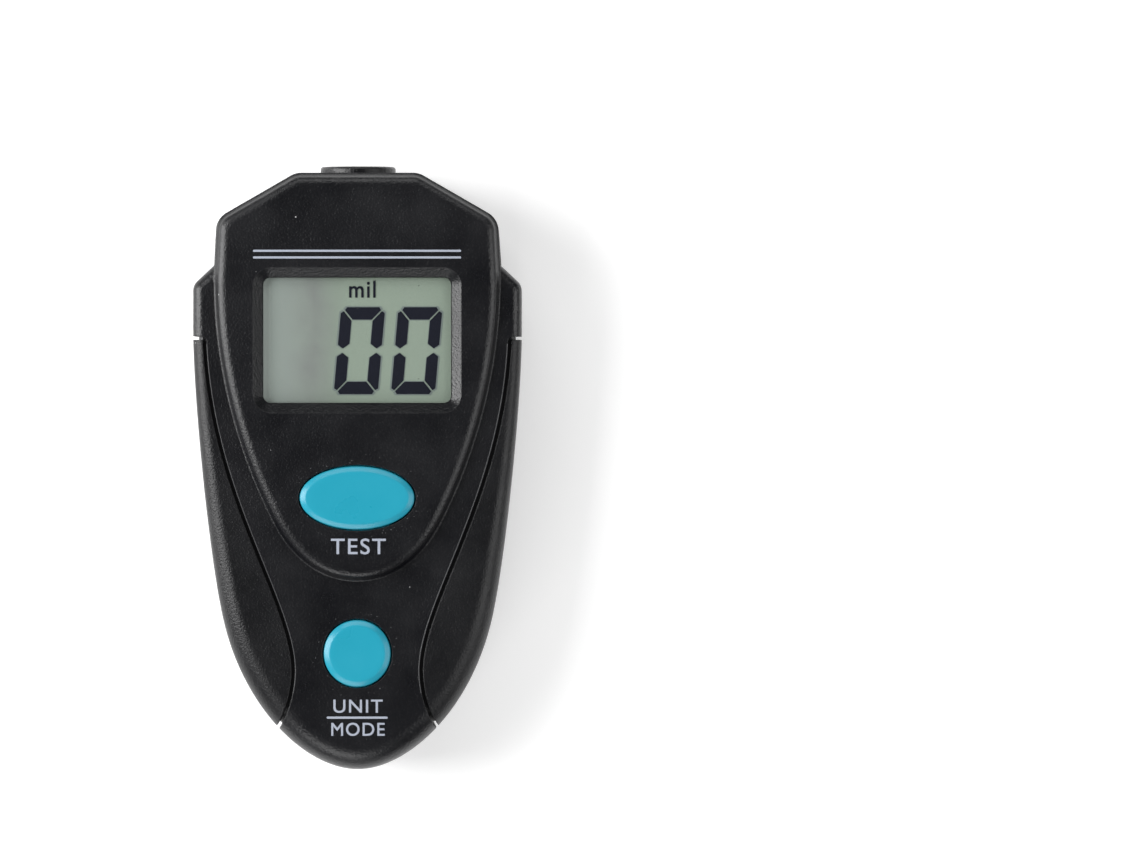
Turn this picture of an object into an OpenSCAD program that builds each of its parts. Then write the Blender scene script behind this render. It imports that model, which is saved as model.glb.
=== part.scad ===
// Palm-sized coating thickness gauge, lying on its back with the keys up.
// X runs across it, +Y runs to the probe, +Z is the front. Millimetres.

/* [Case] */
// Length of the case, without the probe
case_l = 112.6; // [106:0.1:124]
// Width across the shoulders
case_w = 62; // [59:0.5:70]
// Height of the front face over the back
case_t = 25.2; // [23.4:0.1:32]
// Height of the joint between the two shells over the back
joint_z = 13.5; // [12.8:0.1:14.6]
// Thickness of the shell walls
wall = 2.2; // [1.8:0.1:2.6]
// Rounding of the front edge at the shoulders
front_edge = 1.9; // [1.4:0.1:2.6]
// Rounding of the front edge at the tail
front_edge_tail = 4.6; // [3:0.1:6]
// Rounding of the back edge at the shoulders
back_edge = 6; // [4.5:0.1:7.5]
// Rounding of the back edge at the tail
back_edge_tail = 9; // [6:0.1:10]
// Distance from the tail to the waist, where the sides turn into the tail
waist_up = 28.1; // [24:0.1:34]
// Width at the waist
waist_w = 50.6; // [47:0.1:54]
// Lean of the sides at the waist, in degrees
waist_lean = 13; // [9:0.5:17]
// Half-width of the flattest stretch of the tail's nose
nose_half = 9.5; // [7:0.1:12]

/* [Head] */
// Step on each side from the shoulders to the head below its cut corners
head_in = 4.5; // [3.4:0.1:5.5]
// Width of the flat end
head_flat_w = 23.2; // [20:0.1:28]
// Drop of the cut corners
head_cut = 8.6; // [6:0.1:11]
// Rounding between the flat end and the cut corners
head_flat_r = 4; // [1:0.1:6]
// Rounding of the cut corners at the sides
head_corner_r = 4; // [2:0.1:6]
// Distance from the flat end to the shoulders
head_l = 17.5; // [15:0.1:20]
// Fall of the shoulders from the head to the sides
shoulder_fall = 3.65; // [2.5:0.1:6]
// Rounding of the shoulder corners
shoulder_r = 2.4; // [1:0.1:4]
// Height of the head's back over the case's back
head_back = 2.4; // [1:0.1:3]
// Rounding of the head's back edge
head_back_edge = 3; // [2.4:0.1:4]

/* [Shield panel] */
// Height of the shield panel over the front face
shield_h = 2; // [1.4:0.1:3]
// Length of the shield panel from the flat end
shield_l = 77.2; // [73:0.1:80]
// Step on each side from the shoulders to the shield panel's flanks
shield_in = 3.9; // [3.1:0.1:4.4]
// Width of the shield where its nose begins
shield_nose_w = 32.6; // [28:0.1:36]
// Length of the shield's nose
shield_nose_l = 11.9; // [9:0.1:14]
// Width of the shield's rounded edge
shield_edge = 1.45; // [0.8:0.05:2]
// Ledge at the foot of the shield's edge
shield_foot = 0.35; // [0.1:0.05:0.6]

/* [Side grips] */
// Depth of the recess that holds a grip
recess_d = 1.1; // [0.8:0.05:1.3]
// Width of the groove around a grip
groove_w = 1; // [0.6:0.05:1.6]
// Distance from the flat end to the top of the grooves
groove_top = 30.8; // [29:0.1:34]
// Distance between the grooves at their narrowest
groove_gap = 23.4; // [21:0.1:26]
// Distance from the tail to that narrowest place
groove_gap_up = 18.7; // [16:0.1:22]
// Distance from the tail to the grooves' lower ends
groove_end_up = 7.6; // [6:0.1:9]
// Half-width between the grooves' lower ends
groove_end_half = 14.9; // [13.5:0.1:16]
// Reach of a grip over the back
grip_wrap = 5.5; // [4:0.1:6.5]
// Gap between a grip and its seat
grip_gap = 0.08; // [0.05:0.01:0.2]

/* [Display] */
// Distance from the flat end to the middle of the window
window_y = 31.6; // [31:0.1:33]
// Visible width of the window
window_w = 35.4; // [30:0.1:36.4]
// Visible length of the window
window_l = 23.6; // [18:0.1:24.4]
// Corner radius of the window
window_r = 1.1; // [0.4:0.1:3]
// Width of the sloped frame around the window
frame_w = 1.9; // [1:0.1:2.4]
// Depth of the window below the shield
frame_d = 1.5; // [0.8:0.1:1.9]
// Thickness of the window
window_t = 1.2; // [0.8:0.1:1.6]
// Lap of the window behind the frame
window_lap = 1.5; // [1:0.1:2]
// Margin of the display glass around the visible field
lcd_margin = 2.25; // [1.6:0.05:2.6]
// Thickness of one glass plate of the display
lcd_plate_t = 1.3; // [0.7:0.1:1.6]
// Width of the contact ledges of the display
lcd_ledge = 2.6; // [2.2:0.1:3.2]
// Width of a contact strip
strip_w = 1.8; // [1.2:0.1:2]

/* [Keys] */
// Distance from the flat end to the middle of the oval key
test_y = 61.3; // [58:0.1:63]
// Width of the oval key
test_w = 21.6; // [16:0.1:24]
// Length of the oval key
test_l = 11.9; // [9:0.1:13]
// Distance from the tail to the middle of the round key
mode_y = 21.95; // [20:0.1:24]
// Diameter of the round key
mode_d = 12.6; // [9:0.1:14]
// Gap between a key and its hole
key_gap = 0.55; // [0.3:0.05:0.8]
// Height of a key over its panel
key_proud = 0.8; // [0.6:0.05:1.4]
// Rounding of a key's rim
key_rim = 0.9; // [0.3:0.05:1.1]
// Travel of a key
key_travel = 0.5; // [0.3:0.05:0.55]
// Lap of a key's flange behind its hole
key_lap = 1; // [0.6:0.1:1.4]
// Thickness of a key's flange
key_flange = 1; // [0.6:0.1:1.2]
// Diameter of a key's post
key_post_d = 4; // [3:0.1:5]

/* [Probe] */
// Height of the probe over the flat end
probe_proud = 1.3; // [1:0.05:2]
// Diameter of the probe sleeve
sleeve_d = 14.2; // [12:0.1:14.6]
// Bore of the probe sleeve
sleeve_bore = 10.4; // [9:0.1:11]
// Length of the probe sleeve
sleeve_l = 11.5; // [10.8:0.1:12.4]
// Diameter of the sleeve's stop flange
stop_d = 16.6; // [15.6:0.1:17]
// Thickness of the stop flange
stop_t = 1.6; // [1:0.1:2]
// Travel of the probe
probe_travel = 1.2; // [0.6:0.05:1.3]
// Diameter of the probe core
core_d = 4; // [3:0.1:5]
// Length of the spring behind the probe when the probe is pressed in
spring_shut = 3; // [2.8:0.1:3.3]
// Wire of the spring
spring_wire = 0.7; // [0.4:0.05:0.8]
// Turns of the spring
spring_turns = 3; // [2:1:4]

/* [Battery] */
// Diameter of a cell
cell_d = 10.5; // [9.6:0.1:10.8]
// Length of a cell with its nub
cell_l = 44.5; // [40:0.1:45.5]
// Distance from the tail to the middle of the battery well
well_up = 51; // [49:0.1:54]
// Thickness of the walls of the battery well
well_wall = 1; // [0.8:0.1:1.2]
// Length left for a contact spring
contact_l = 3.8; // [3:0.1:4.5]
// Thickness of the battery door
door_t = 1.5; // [1.2:0.1:1.7]
// Depth of the door below the back
door_sunk = 0.25; // [0.1:0.05:0.4]
// Gap around the door
door_gap = 0.35; // [0.25:0.05:0.5]
// Diameter of the door's hinge barrel
barrel_d = 2.4; // [2:0.1:2.6]
// Diameter of the door's hinge pins
hinge_pin_d = 1.6; // [1.2:0.1:1.8]
// Length of the door's hinge pins
hinge_pin_l = 1.6; // [1:0.1:2]

/* [Inside] */
// Thickness of the main board
board_t = 1.6; // [1:0.1:2]
// Width of the main board
board_w = 43; // [41:0.5:44]
// Height of a switch body
switch_h = 1.6; // [1.4:0.1:2]
// Width of a switch body
switch_w = 5.2; // [4.5:0.1:6.5]
// Height of a switch stem over its body
stem_out = 0.9; // [0.7:0.05:1.2]
// Diameter of a switch stem
stem_d = 3; // [2:0.1:3.4]
// Shank diameter of the case screws
screw_d = 2.2; // [1.8:0.1:2.6]
// Shank diameter of the board screws
board_screw_d = 1.6; // [1.2:0.1:2]

/* [Strap] */
// Distance from the tail to the strap bar
strap_up = 14.5; // [13.5:0.1:16]
// Length of the strap pocket
strap_l = 8; // [7:0.1:9]
// Width of the strap pocket
strap_w = 5; // [4:0.1:6]
// Depth of the strap pocket
strap_d = 4; // [3.5:0.1:5]
// Diameter of the strap bar
strap_bar_d = 2.2; // [1.6:0.1:2.6]

/* [Hidden] */
$fn = 48;
cut = 1; // overrun of a cut past the face it starts from
fit = 0.05; // running fit of a stem or pin in its hole
slip = 0.1; // gap between pieces that are laid in
seat = 0.3; // gap under pieces that must not bind

// Widths of the head and of the shield panel
head_w = case_w - 2 * head_in;
shield_w = case_w - 2 * shield_in;

// Places along the gauge
y_tail = -(case_l + probe_proud) / 2;
y_end = y_tail + case_l;
y_cut = y_end - head_cut;
y_shoulder = y_end - head_l;
y_side = y_shoulder - shoulder_fall;
y_shield = y_end - shield_l;
y_window = y_end - window_y;
y_test = y_end - test_y;
y_mode = y_tail + mode_y;
y_well = y_tail + well_up;
y_strap = y_tail + strap_up;

// Heights
z_shield = case_t + shield_h;
z_ceiling = case_t - wall;
z_shield_ceiling = z_shield - wall;
z_window = z_shield - frame_d;
z_lcd = z_window - window_t - seat;
z_ledge = z_lcd - lcd_plate_t;
z_door = door_sunk + door_t;
z_cell = z_door + seat + cell_d / 2;
z_well = z_cell + cell_d / 2 + seat;
board_head_h = 1.2;
z_board = z_well + well_wall + slip + board_head_h;
z_board_top = z_board + board_t;
z_stem = z_board_top + switch_h + stem_out;

// Outlines: the right half, from the middle of the head end to the middle of the lower end
arc_steps = 4;
side_steps = 9;
tail_steps = 12;
function unit(v) = v / norm(v);
function bezier(p, t) =
    pow(1 - t, 3) * p[0] + 3 * pow(1 - t, 2) * t * p[1]
    + 3 * (1 - t) * t * t * p[2] + pow(t, 3) * p[3];
function curve(p, steps) = [for (i = [1:steps]) bezier(p, i / steps)];
function rounded(a, b, c, r, steps) =
    let (
        u = unit(a - b),
        v = unit(c - b),
        half = acos(u * v) / 2,
        middle = b + unit(u + v) * r / sin(half),
        from = b + u * r / tan(half) - middle,
        turn = (180 - 2 * half) / steps
    )
    [for (i = [0:steps]) middle + [
        from.x * cos(i * turn) + from.y * sin(i * turn),
        from.y * cos(i * turn) - from.x * sin(i * turn)
    ]];
// The full outline; the first point only marks the middle of a straight edge and is left out
function mirrored(half) = concat(
    [for (i = [1:len(half) - 1]) half[i]],
    [for (i = [len(half) - 2:-1:1]) [-half[i].x, half[i].y]]
);

// Inward mitre of each outline point, so that a moved outline stays parallel
function inward(a, b) = unit([b.y - a.y, a.x - b.x]);
function mitres(half) =
    let (last = len(half) - 1)
    [for (i = [0:last])
        let (
            before = i == 0 ? [-half[1].x, half[1].y] : half[i - 1],
            after = i == last ? [-half[last - 1].x, half[last - 1].y] : half[i + 1],
            m = inward(before, half[i]),
            n = inward(half[i], after)
        )
        (m + n) / (1 + m * n)];
function inset(half, d) = let (m = mitres(half)) [for (i = [0:len(half) - 1]) half[i] + m[i] * d];

head_corners = [
    [0, y_end], [head_flat_w / 2, y_end], [head_w / 2, y_cut], [shield_w / 2, y_shoulder]
];
head_line = concat(
    [head_corners[0]],
    rounded(head_corners[0], head_corners[1], head_corners[2], head_flat_r, arc_steps),
    rounded(head_corners[1], head_corners[2], head_corners[3], head_corner_r, arc_steps + 1)
);
// Handles of the shield's flank and nose
flank_handle = 17.8;
flank_end_handle = 12.7;
nose_start_handle = 2.7;
nose_end_handle = 10.4;
shield_nose = [shield_nose_w / 2, y_shield + shield_nose_l];
nose_dir = unit([-0.5, -1]);
flank_start = 2.6;
y_flank = y_shoulder - flank_start;
shield_line = concat(
    head_line,
    [[shield_w / 2, y_flank]],
    curve([
        [shield_w / 2, y_flank],
        [shield_w / 2, y_flank - flank_handle],
        shield_nose - nose_dir * flank_end_handle,
        shield_nose
    ], side_steps),
    curve([
        shield_nose,
        shield_nose + nose_dir * nose_start_handle,
        [nose_end_handle, y_shield],
        [0, y_shield]
    ], tail_steps - 4)
);

// Handles of the case's sides and tail
side_fall = 8.4;
side_handle = 12.8;
waist_handle = 12;
tail_handle = 17.4;
shoulder_dir = unit([shield_w / 2 - case_w / 2, shoulder_fall]);
shoulder_tuck = 11;
waist = [waist_w / 2, y_tail + waist_up];
waist_dir = [-sin(waist_lean), -cos(waist_lean)];
case_side = [case_w / 2, y_side];
case_tuck = case_side + shoulder_dir * shoulder_tuck;
case_line = concat(
    [[0, case_tuck.y], case_tuck],
    rounded(case_tuck, case_side, case_side - [0, side_fall], shoulder_r, arc_steps),
    [case_side - [0, side_fall]],
    curve([
        case_side - [0, side_fall],
        case_side - [0, side_fall + side_handle],
        waist - waist_dir * waist_handle,
        waist
    ], side_steps),
    curve([
        waist,
        waist + waist_dir * tail_handle,
        [nose_half, y_tail],
        [0, y_tail]
    ], tail_steps)
);
head_tuck = 4;
head_foot = y_side - head_tuck;
back_head_line = concat(
    head_line,
    [[shield_w / 2, y_shoulder], [shield_w / 2, head_foot], [0, head_foot - cut]]
);

// A skin over a stack of loops with equal numbers of points, lowest loop first
module loft(loops) {
    n = len(loops[0]);
    top = len(loops) - 1;
    polyhedron(
        points = [for (l = loops) each l],
        faces = concat(
            [for (k = [0:top - 1]) for (j = [0:n - 1])
                let (a = k * n + j, b = k * n + (j + 1) % n) each [[a, b, b + n], [a, b + n, a + n]]],
            [[for (j = [n - 1:-1:0]) j]],
            [[for (j = [0:n - 1]) top * n + j]]
        ),
        convexity = 4
    );
}

// Rounding of the case's edges, growing from the shoulders to the tail
function grow(y, a, b) =
    let (t = max(0, min(1, (y_side - y) / (y_side - y_tail)))) a + (b - a) * t * t * (3 - 2 * t);
function front_r(p) = grow(p.y, front_edge, front_edge_tail);
function back_r(p) = grow(p.y, back_edge, back_edge_tail);
edge_steps = 4;
least_r = 0.3;
// One loop of the rounded edge: d below the case's skin, at angle a round the edge
function edge_in(r, d, a) = d + max(r - d, least_r) * (1 - cos(a));
function edge_drop(r, d, a) = d + max(r - d, least_r) * (1 - sin(a));
function front_loop(line, d, a) =
    let (m = mitres(line))
    [for (i = [0:len(line) - 1])
        let (p = line[i] + m[i] * edge_in(front_r(line[i]), d, a))
        [p.x, p.y, case_t - edge_drop(front_r(line[i]), d, a)]];
function back_loop(line, d, a) =
    let (m = mitres(line))
    [for (i = [0:len(line) - 1])
        let (p = line[i] + m[i] * edge_in(back_r(line[i]), d, a))
        [p.x, p.y, edge_drop(back_r(line[i]), d, a)]];
function level(line, z) = [for (p = line) [p.x, p.y, z]];
function whole(half) = concat(
    [for (i = [1:len(half) - 1]) half[i]],
    [for (i = [len(half) - 2:-1:1]) [-half[i].x, half[i].y, half[i].z]]
);
function edge_angles(rising) = [for (k = [0:edge_steps]) (rising ? k : edge_steps - k) * 90 / edge_steps];

// Front half of the case, d below its skin, and its back half. The front forms run a little
// past the joint, where the shell trims them flat.
module case_front(d) {
    loft(concat(
        [whole(level(inset(case_line, d), joint_z - 2 * cut))],
        [for (a = edge_angles(true)) whole(front_loop(case_line, d, a))]
    ));
}
module case_back(d, rise) {
    loft(concat(
        [for (a = edge_angles(false)) whole(back_loop(case_line, d, a))],
        [whole(level(inset(case_line, d), joint_z + rise))]
    ));
}
// Right half of the whole case, d below its skin
module case_right(d) {
    loft(concat(
        [for (a = edge_angles(false)) back_loop(case_line, d, a)],
        [for (a = edge_angles(true)) front_loop(case_line, d, a)]
    ));
}
// Head behind the joint, d below its skin
module head_back_half(d, rise) {
    r = max(head_back_edge - d, least_r);
    loft(concat(
        [for (a = edge_angles(false))
            whole(level(inset(back_head_line, d + r * (1 - cos(a))), head_back + d + r * (1 - sin(a))))],
        [whole(level(inset(back_head_line, d), joint_z + rise))]
    ));
}
// Head and shield panel in front of the joint, with the rounded edge and its foot ledge
module shield_form() {
    upright = 0.35; // share of the panel's height below the rounding
    wall_h = shield_h * upright;
    rim = shield_edge - shield_foot;
    rise = shield_h - wall_h - shield_foot;
    loft(concat(
        [for (z = [joint_z - 3 * cut, case_t - shield_foot]) whole(level(shield_line, z))],
        [whole(level(inset(shield_line, shield_foot), case_t + shield_foot))],
        [for (a = edge_angles(true))
            whole(level(
                inset(shield_line, shield_foot + rim * (1 - cos(a))),
                case_t + shield_foot + wall_h + rise * sin(a)
            ))]
    ));
}

// The grip's field on the front, from the body's edge of the groove outwards
groove_corner_r = 1.5;
field_out = 8;
groove_y = y_end - groove_top;
groove_band = 2.6;
groove_lean = 1.4;
groove_fall = 29;
groove_run = 13;
groove_turn = 4.2;
sweep_out = 1.7;
sweep_down = 2.4;
exit_run = 4;
groove_sweep = [sweep_out, -sweep_down];
groove_narrow = [groove_gap / 2, y_tail + groove_gap_up];
groove_end = [groove_end_half, y_tail + groove_end_up];
groove_start = [case_w / 2 - groove_band, groove_y - groove_corner_r];
groove_low = groove_end - groove_sweep;
groove_exit = groove_end + groove_sweep * exit_run;
groove_curve = concat(
    [groove_start],
    curve([
        groove_start,
        groove_start - [groove_lean, groove_fall],
        groove_narrow + [0, groove_run],
        groove_narrow
    ], side_steps + 3),
    curve([groove_narrow, groove_narrow - [0, groove_turn], groove_low, groove_end], arc_steps + 2)
);
groove_corner = rounded(
    groove_start, [groove_start.x, groove_y],
    [case_w / 2, groove_y], groove_corner_r * 0.8, arc_steps
);
module grip_field() {
    polygon(concat(
        [[case_w / 2 + field_out, groove_y]],
        [for (i = [arc_steps:-1:0]) groove_corner[i]],
        groove_curve,
        [groove_exit, [case_w / 2 + field_out, groove_exit.y]]
    ));
}
module grip_field_back() {
    difference() {
        grip_field();
        polygon(mirrored(inset(case_line, grip_wrap)));
    }
}
// What the front forms have past the joint
module past_joint() {
    translate([-case_w, y_tail - case_l, joint_z - 5 * cut]) cube([2 * case_w, 3 * case_l, 5 * cut]);
}
module both_sides() {
    children();
    mirror([1, 0, 0]) children();
}
module front_recess() {
    difference() {
        both_sides() translate([0, 0, joint_z - cut]) linear_extrude(case_t) grip_field();
        case_front(recess_d);
    }
}
module back_recess() {
    difference() {
        both_sides() translate([0, 0, -cut]) linear_extrude(joint_z + 2 * cut) grip_field_back();
        case_back(recess_d, 3 * cut);
    }
}
module grip() {
    difference() {
        intersection() {
            case_right(0);
            union() {
                translate([0, 0, joint_z]) linear_extrude(case_t) offset(delta = -groove_w) grip_field();
                translate([0, 0, -cut]) linear_extrude(joint_z + cut)
                    offset(delta = -groove_w) grip_field_back();
            }
        }
        case_right(recess_d - grip_gap);
    }
}

// Plates and ovals
module plate(w, l, r) {
    offset(r = r) square([w - 2 * r, l - 2 * r], center = true);
}
oval_steps = 48;
function oval(w, l) =
    [for (i = [0:oval_steps - 1]) let (a = i * 360 / oval_steps) [w / 2 * sin(a), l / 2 * cos(a)]];
module along_y(y) {
    translate([0, y, joint_z]) rotate([-90, 0, 0]) children();
}
module at_each(places) {
    for (p = places) translate([p.x, p.y, 0]) children();
}

// Screws: places, heads and the bosses that take them
screw_head_d = 4.6;
screw_head_h = 1.6;
screw_bite = 6.5;
screw_land = 3;
boss_d = 5.6;
back_boss_d = 6.4;
head_screw_side = 7;
head_screw_in = 12.6;
tail_screw_x = 12;
tail_screw_up = 20;
head_screws = [for (side = [-1, 1]) [side * (head_w / 2 - head_screw_side), y_end - head_screw_in]];
tail_screws = [for (side = [-1, 1]) [side * tail_screw_x, y_tail + tail_screw_up]];
screw_places = concat(head_screws, tail_screws);
board_head_d = 3.4;
board_bite = 4.4;
post_d = 4.4;
post_side = 3;
post_below = 6.4;
post_x = board_w / 2 - post_side;
y_post = y_window - window_l / 2 - lcd_margin - post_below;
board_places = [[-post_x, y_post], [post_x, y_post], [0, (y_test + y_mode) / 2]];

// Places along the probe
rib_t = 1.6;
sleeve_front = y_end + probe_proud;
sleeve_back = sleeve_front - sleeve_l;
spring_seat = sleeve_back - spring_shut - probe_travel;
cradle_in = 0.6;
cradle_y = sleeve_back + cradle_in;
stop_front = y_end - wall - 2 * slip;
lead_hole_d = 4.8;

// Display pieces
lcd_w = window_w + 2 * lcd_margin;
lcd_l = window_l + 2 * lcd_margin;
lcd_rib = 1.2;
lcd_room = [lcd_w, lcd_l] + 4 * [slip, slip];

// Battery well and door
cell_room = 0.7;
plate_t = 0.4;
well_w = 2 * (cell_d + cell_room);
well_l = cell_l + contact_l + 2 * (plate_t + slip + fit);
cell_x = (cell_d + cell_room) / 2;
door_lap = 0.5;
door_w = well_w + 2 * door_lap;
door_low = y_well - well_l / 2 - door_lap;
hinge_y = y_well + well_l / 2 + well_wall + barrel_d / 2 + slip;
hinge_z = door_sunk + barrel_d / 2;
hinge_block_l = barrel_d + 2 * well_wall + 2 * door_gap;

module front_shell() {
    color([0.13, 0.13, 0.145])
    difference() {
        union() {
            difference() {
                union() {
                    difference() {
                        shield_form();
                        past_joint();
                    }
                    difference() {
                        case_front(0);
                        front_recess();
                        past_joint();
                    }
                }
                translate([0, 0, joint_z - cut])
                    linear_extrude(z_shield_ceiling - joint_z + cut)
                        polygon(mirrored(inset(shield_line, wall)));
                translate([0, 0, joint_z - cut]) linear_extrude(z_ceiling - joint_z + cut)
                    polygon(mirrored(inset(case_line, recess_d + wall / 2 + slip)));
            }
            // Bosses for the case screws, posts for the board
            at_each(head_screws) translate([0, 0, joint_z])
                cylinder(d = boss_d, h = z_shield_ceiling - joint_z + slip);
            at_each(tail_screws) translate([0, 0, joint_z])
                cylinder(d = boss_d, h = z_ceiling - joint_z + slip);
            at_each(board_places) translate([0, 0, z_board_top])
                cylinder(d = post_d, h = z_shield_ceiling - z_board_top + slip);
            // Wall around the display glass
            translate([0, y_window, z_lcd - 2 * lcd_plate_t])
                linear_extrude(z_shield_ceiling - z_lcd + 2 * lcd_plate_t + slip) difference() {
                    square(lcd_room + 2 * [lcd_rib, lcd_rib], center = true);
                    square(lcd_room, center = true);
                }
            // Upper half of the probe's cradle
            translate([-sleeve_d / 2 - rib_t, cradle_y, joint_z])
                cube([sleeve_d + 2 * rib_t, rib_t, z_shield_ceiling - joint_z + slip]);
        }
        // Sloped frame, and the window's seat behind it
        translate([0, y_window, 0]) hull() {
            translate([0, 0, z_window]) linear_extrude(0.01) plate(window_w, window_l, window_r);
            translate([0, 0, z_shield]) linear_extrude(0.01)
                plate(window_w + 2 * frame_w, window_l + 2 * frame_w, window_r + frame_w / 2);
        }
        translate([0, y_window, z_window - window_t - slip]) linear_extrude(window_t + slip) plate(
            window_w + 2 * (window_lap + slip), window_l + 2 * (window_lap + slip), window_r + window_lap
        );
        translate([0, y_test, z_shield_ceiling - cut]) linear_extrude(wall + 2 * cut)
            polygon(oval(test_w + 2 * key_gap, test_l + 2 * key_gap));
        translate([0, y_mode, z_ceiling - cut]) cylinder(d = mode_d + 2 * key_gap, h = wall + 2 * cut);
        along_y(cradle_y - cut) cylinder(d = sleeve_d + 2 * slip, h = y_end - cradle_y + 2 * cut);
        at_each(screw_places) translate([0, 0, joint_z - cut])
            cylinder(d = screw_d + 2 * fit, h = screw_bite + slip + cut);
        at_each(board_places) translate([0, 0, z_board_top - cut])
            cylinder(d = board_screw_d + 2 * fit, h = board_bite + slip + cut);
    }
}

module rear_shell() {
    color([0.12, 0.12, 0.13])
    difference() {
        union() {
            difference() {
                union() {
                    difference() {
                        case_back(0, 0);
                        back_recess();
                    }
                    head_back_half(0, 0);
                }
                case_back(wall, cut);
                head_back_half(wall, cut);
            }
            rear_fittings();
        }
        rear_cuts();
    }
}
module rear_fittings() {
    // Box of the battery well and the block behind the door's hinge
    translate([-well_w / 2 - well_wall, y_well - well_l / 2 - well_wall, door_sunk + door_t])
        cube([well_w + 2 * well_wall, well_l + 2 * well_wall, z_well + well_wall - door_sunk - door_t]);
    translate([-door_w / 2 - hinge_pin_l - well_wall, hinge_y - hinge_block_l / 2, wall / 2])
        cube([
            door_w + 2 * (hinge_pin_l + well_wall), hinge_block_l,
            hinge_z + barrel_d / 2 + door_gap + well_wall - wall / 2
        ]);
    // Columns for the case screws
    at_each(head_screws) translate([0, 0, head_back + wall / 2])
        cylinder(d = back_boss_d, h = joint_z - head_back - wall / 2);
    at_each(tail_screws) translate([0, 0, wall / 2]) cylinder(d = back_boss_d, h = joint_z - wall / 2);
    // Rib behind the probe's spring, and the lower half of the cradle
    translate([-sleeve_d / 2, spring_seat - rib_t, head_back + wall / 2])
        cube([sleeve_d, rib_t, joint_z + sleeve_d / 2 - head_back - wall / 2]);
    translate([-sleeve_d / 2 - rib_t, cradle_y, head_back + wall / 2])
        cube([sleeve_d + 2 * rib_t, rib_t, joint_z - head_back - wall / 2]);
    // Box around the strap pocket
    translate([-strap_w / 2 - well_wall, y_strap - strap_l / 2 - well_wall, wall / 2])
        cube([strap_w + 2 * well_wall, strap_l + 2 * well_wall, strap_d + well_wall - wall / 2]);
}
module rear_cuts() {
    // Well and doorway
    translate([-well_w / 2, y_well - well_l / 2, -cut]) cube([well_w, well_l, z_well + cut]);
    translate([-door_w / 2 - door_gap, door_low - door_gap, -cut])
        cube([door_w + 2 * door_gap, hinge_y - door_low + door_gap, z_door + slip + cut]);
    translate([0, hinge_y, hinge_z]) rotate([0, 90, 0])
        cylinder(d = barrel_d + 2 * door_gap, h = door_w + 2 * door_gap, center = true);
    translate([-door_w / 2 - door_gap, hinge_y - slip, -cut])
        cube([door_w + 2 * door_gap, barrel_d / 2 + door_gap + slip, hinge_z + cut]);
    translate([0, hinge_y, hinge_z]) rotate([0, 90, 0])
        cylinder(d = hinge_pin_d + 2 * fit, h = door_w + 2 * (hinge_pin_l + slip), center = true);
    // Finger scoop at the door's free end
    scoop_r = 9;
    scoop_d = 1.2;
    translate([0, door_low - door_gap, scoop_d - scoop_r]) sphere(r = scoop_r);
    // Screw wells
    at_each(screw_places) translate([0, 0, -cut])
        cylinder(d = screw_head_d + 4 * slip, h = joint_z - screw_land + cut);
    at_each(screw_places) cylinder(d = screw_d + 4 * slip, h = joint_z + cut);
    // Probe way, and the hole for its leads
    along_y(cradle_y - cut) cylinder(d = sleeve_d + 2 * slip, h = y_end - cradle_y + 2 * cut);
    along_y(spring_seat - rib_t - cut) cylinder(d = lead_hole_d, h = rib_t + 2 * cut);
    // Strap pocket on both sides of its bar
    difference() {
        translate([0, y_strap, -cut]) linear_extrude(strap_d + cut) plate(strap_w, strap_l, 1);
        translate([0, y_strap, strap_bar_d / 2]) rotate([0, 90, 0])
            cylinder(d = strap_bar_d, h = strap_w + cut, center = true);
    }
}

module left_grip() {
    color([0.1, 0.1, 0.105]) mirror([1, 0, 0]) grip();
}
module right_grip() {
    color([0.1, 0.1, 0.105]) grip();
}

module display_window() {
    color([0.75, 0.8, 0.75, 0.5]) translate([0, y_window, z_window - window_t]) linear_extrude(window_t)
        plate(window_w + 2 * window_lap, window_l + 2 * window_lap, window_r + window_lap);
}
module lcd_glass() {
    color([0.6, 0.65, 0.58]) translate([0, y_window, z_ledge]) {
        translate([-lcd_w / 2, -lcd_l / 2, 0]) cube([lcd_w, lcd_l, lcd_plate_t]);
        translate([-lcd_w / 2, lcd_ledge - lcd_l / 2, -lcd_plate_t])
            cube([lcd_w, lcd_l - 2 * lcd_ledge, lcd_plate_t]);
    }
}
module contact_strips() {
    reach = (lcd_l - lcd_ledge) / 2;
    color([0.85, 0.6, 0.65]) for (side = [-1, 1])
        translate([-lcd_w / 2, y_window + side * reach - strip_w / 2, z_board_top])
            cube([lcd_w, strip_w, z_ledge - z_board_top]);
}

module main_board() {
    margin = 2.4;
    side = 4;
    flare = 3;
    flare_up = 8;
    board_end = y_window + lcd_l / 2;
    board_tail = y_mode - switch_w / 2 - margin;
    tail_half = switch_w / 2 + side;
    outline = [
        [0, board_end], [board_w / 2, board_end], [board_w / 2, y_test + side],
        [tail_half + flare, y_mode + flare_up], [tail_half, board_tail], [0, board_tail]
    ];
    color([0.1, 0.35, 0.2]) difference() {
        translate([0, 0, z_board]) linear_extrude(board_t) polygon(mirrored(outline));
        at_each(board_places) translate([0, 0, z_board - cut])
            cylinder(d = board_screw_d + 4 * slip, h = board_t + 2 * cut);
    }
}
module controller_chip() {
    chip_w = 10;
    chip_t = 1.4;
    leg_w = 0.4;
    leg_pitch = 0.8;
    leg_out = 1;
    legs = 11;
    color([0.08, 0.08, 0.09]) translate([0, y_window, z_board_top]) {
        translate([-chip_w / 2, -chip_w / 2, slip]) cube([chip_w, chip_w, chip_t]);
        for (turn = [0:90:270]) rotate([0, 0, turn]) for (i = [0:legs - 1])
            translate([chip_w / 2 - leg_out, (i - (legs - 1) / 2) * leg_pitch - leg_w / 2, 0])
                cube([2 * leg_out, leg_w, 2 * slip]);
    }
}
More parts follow.
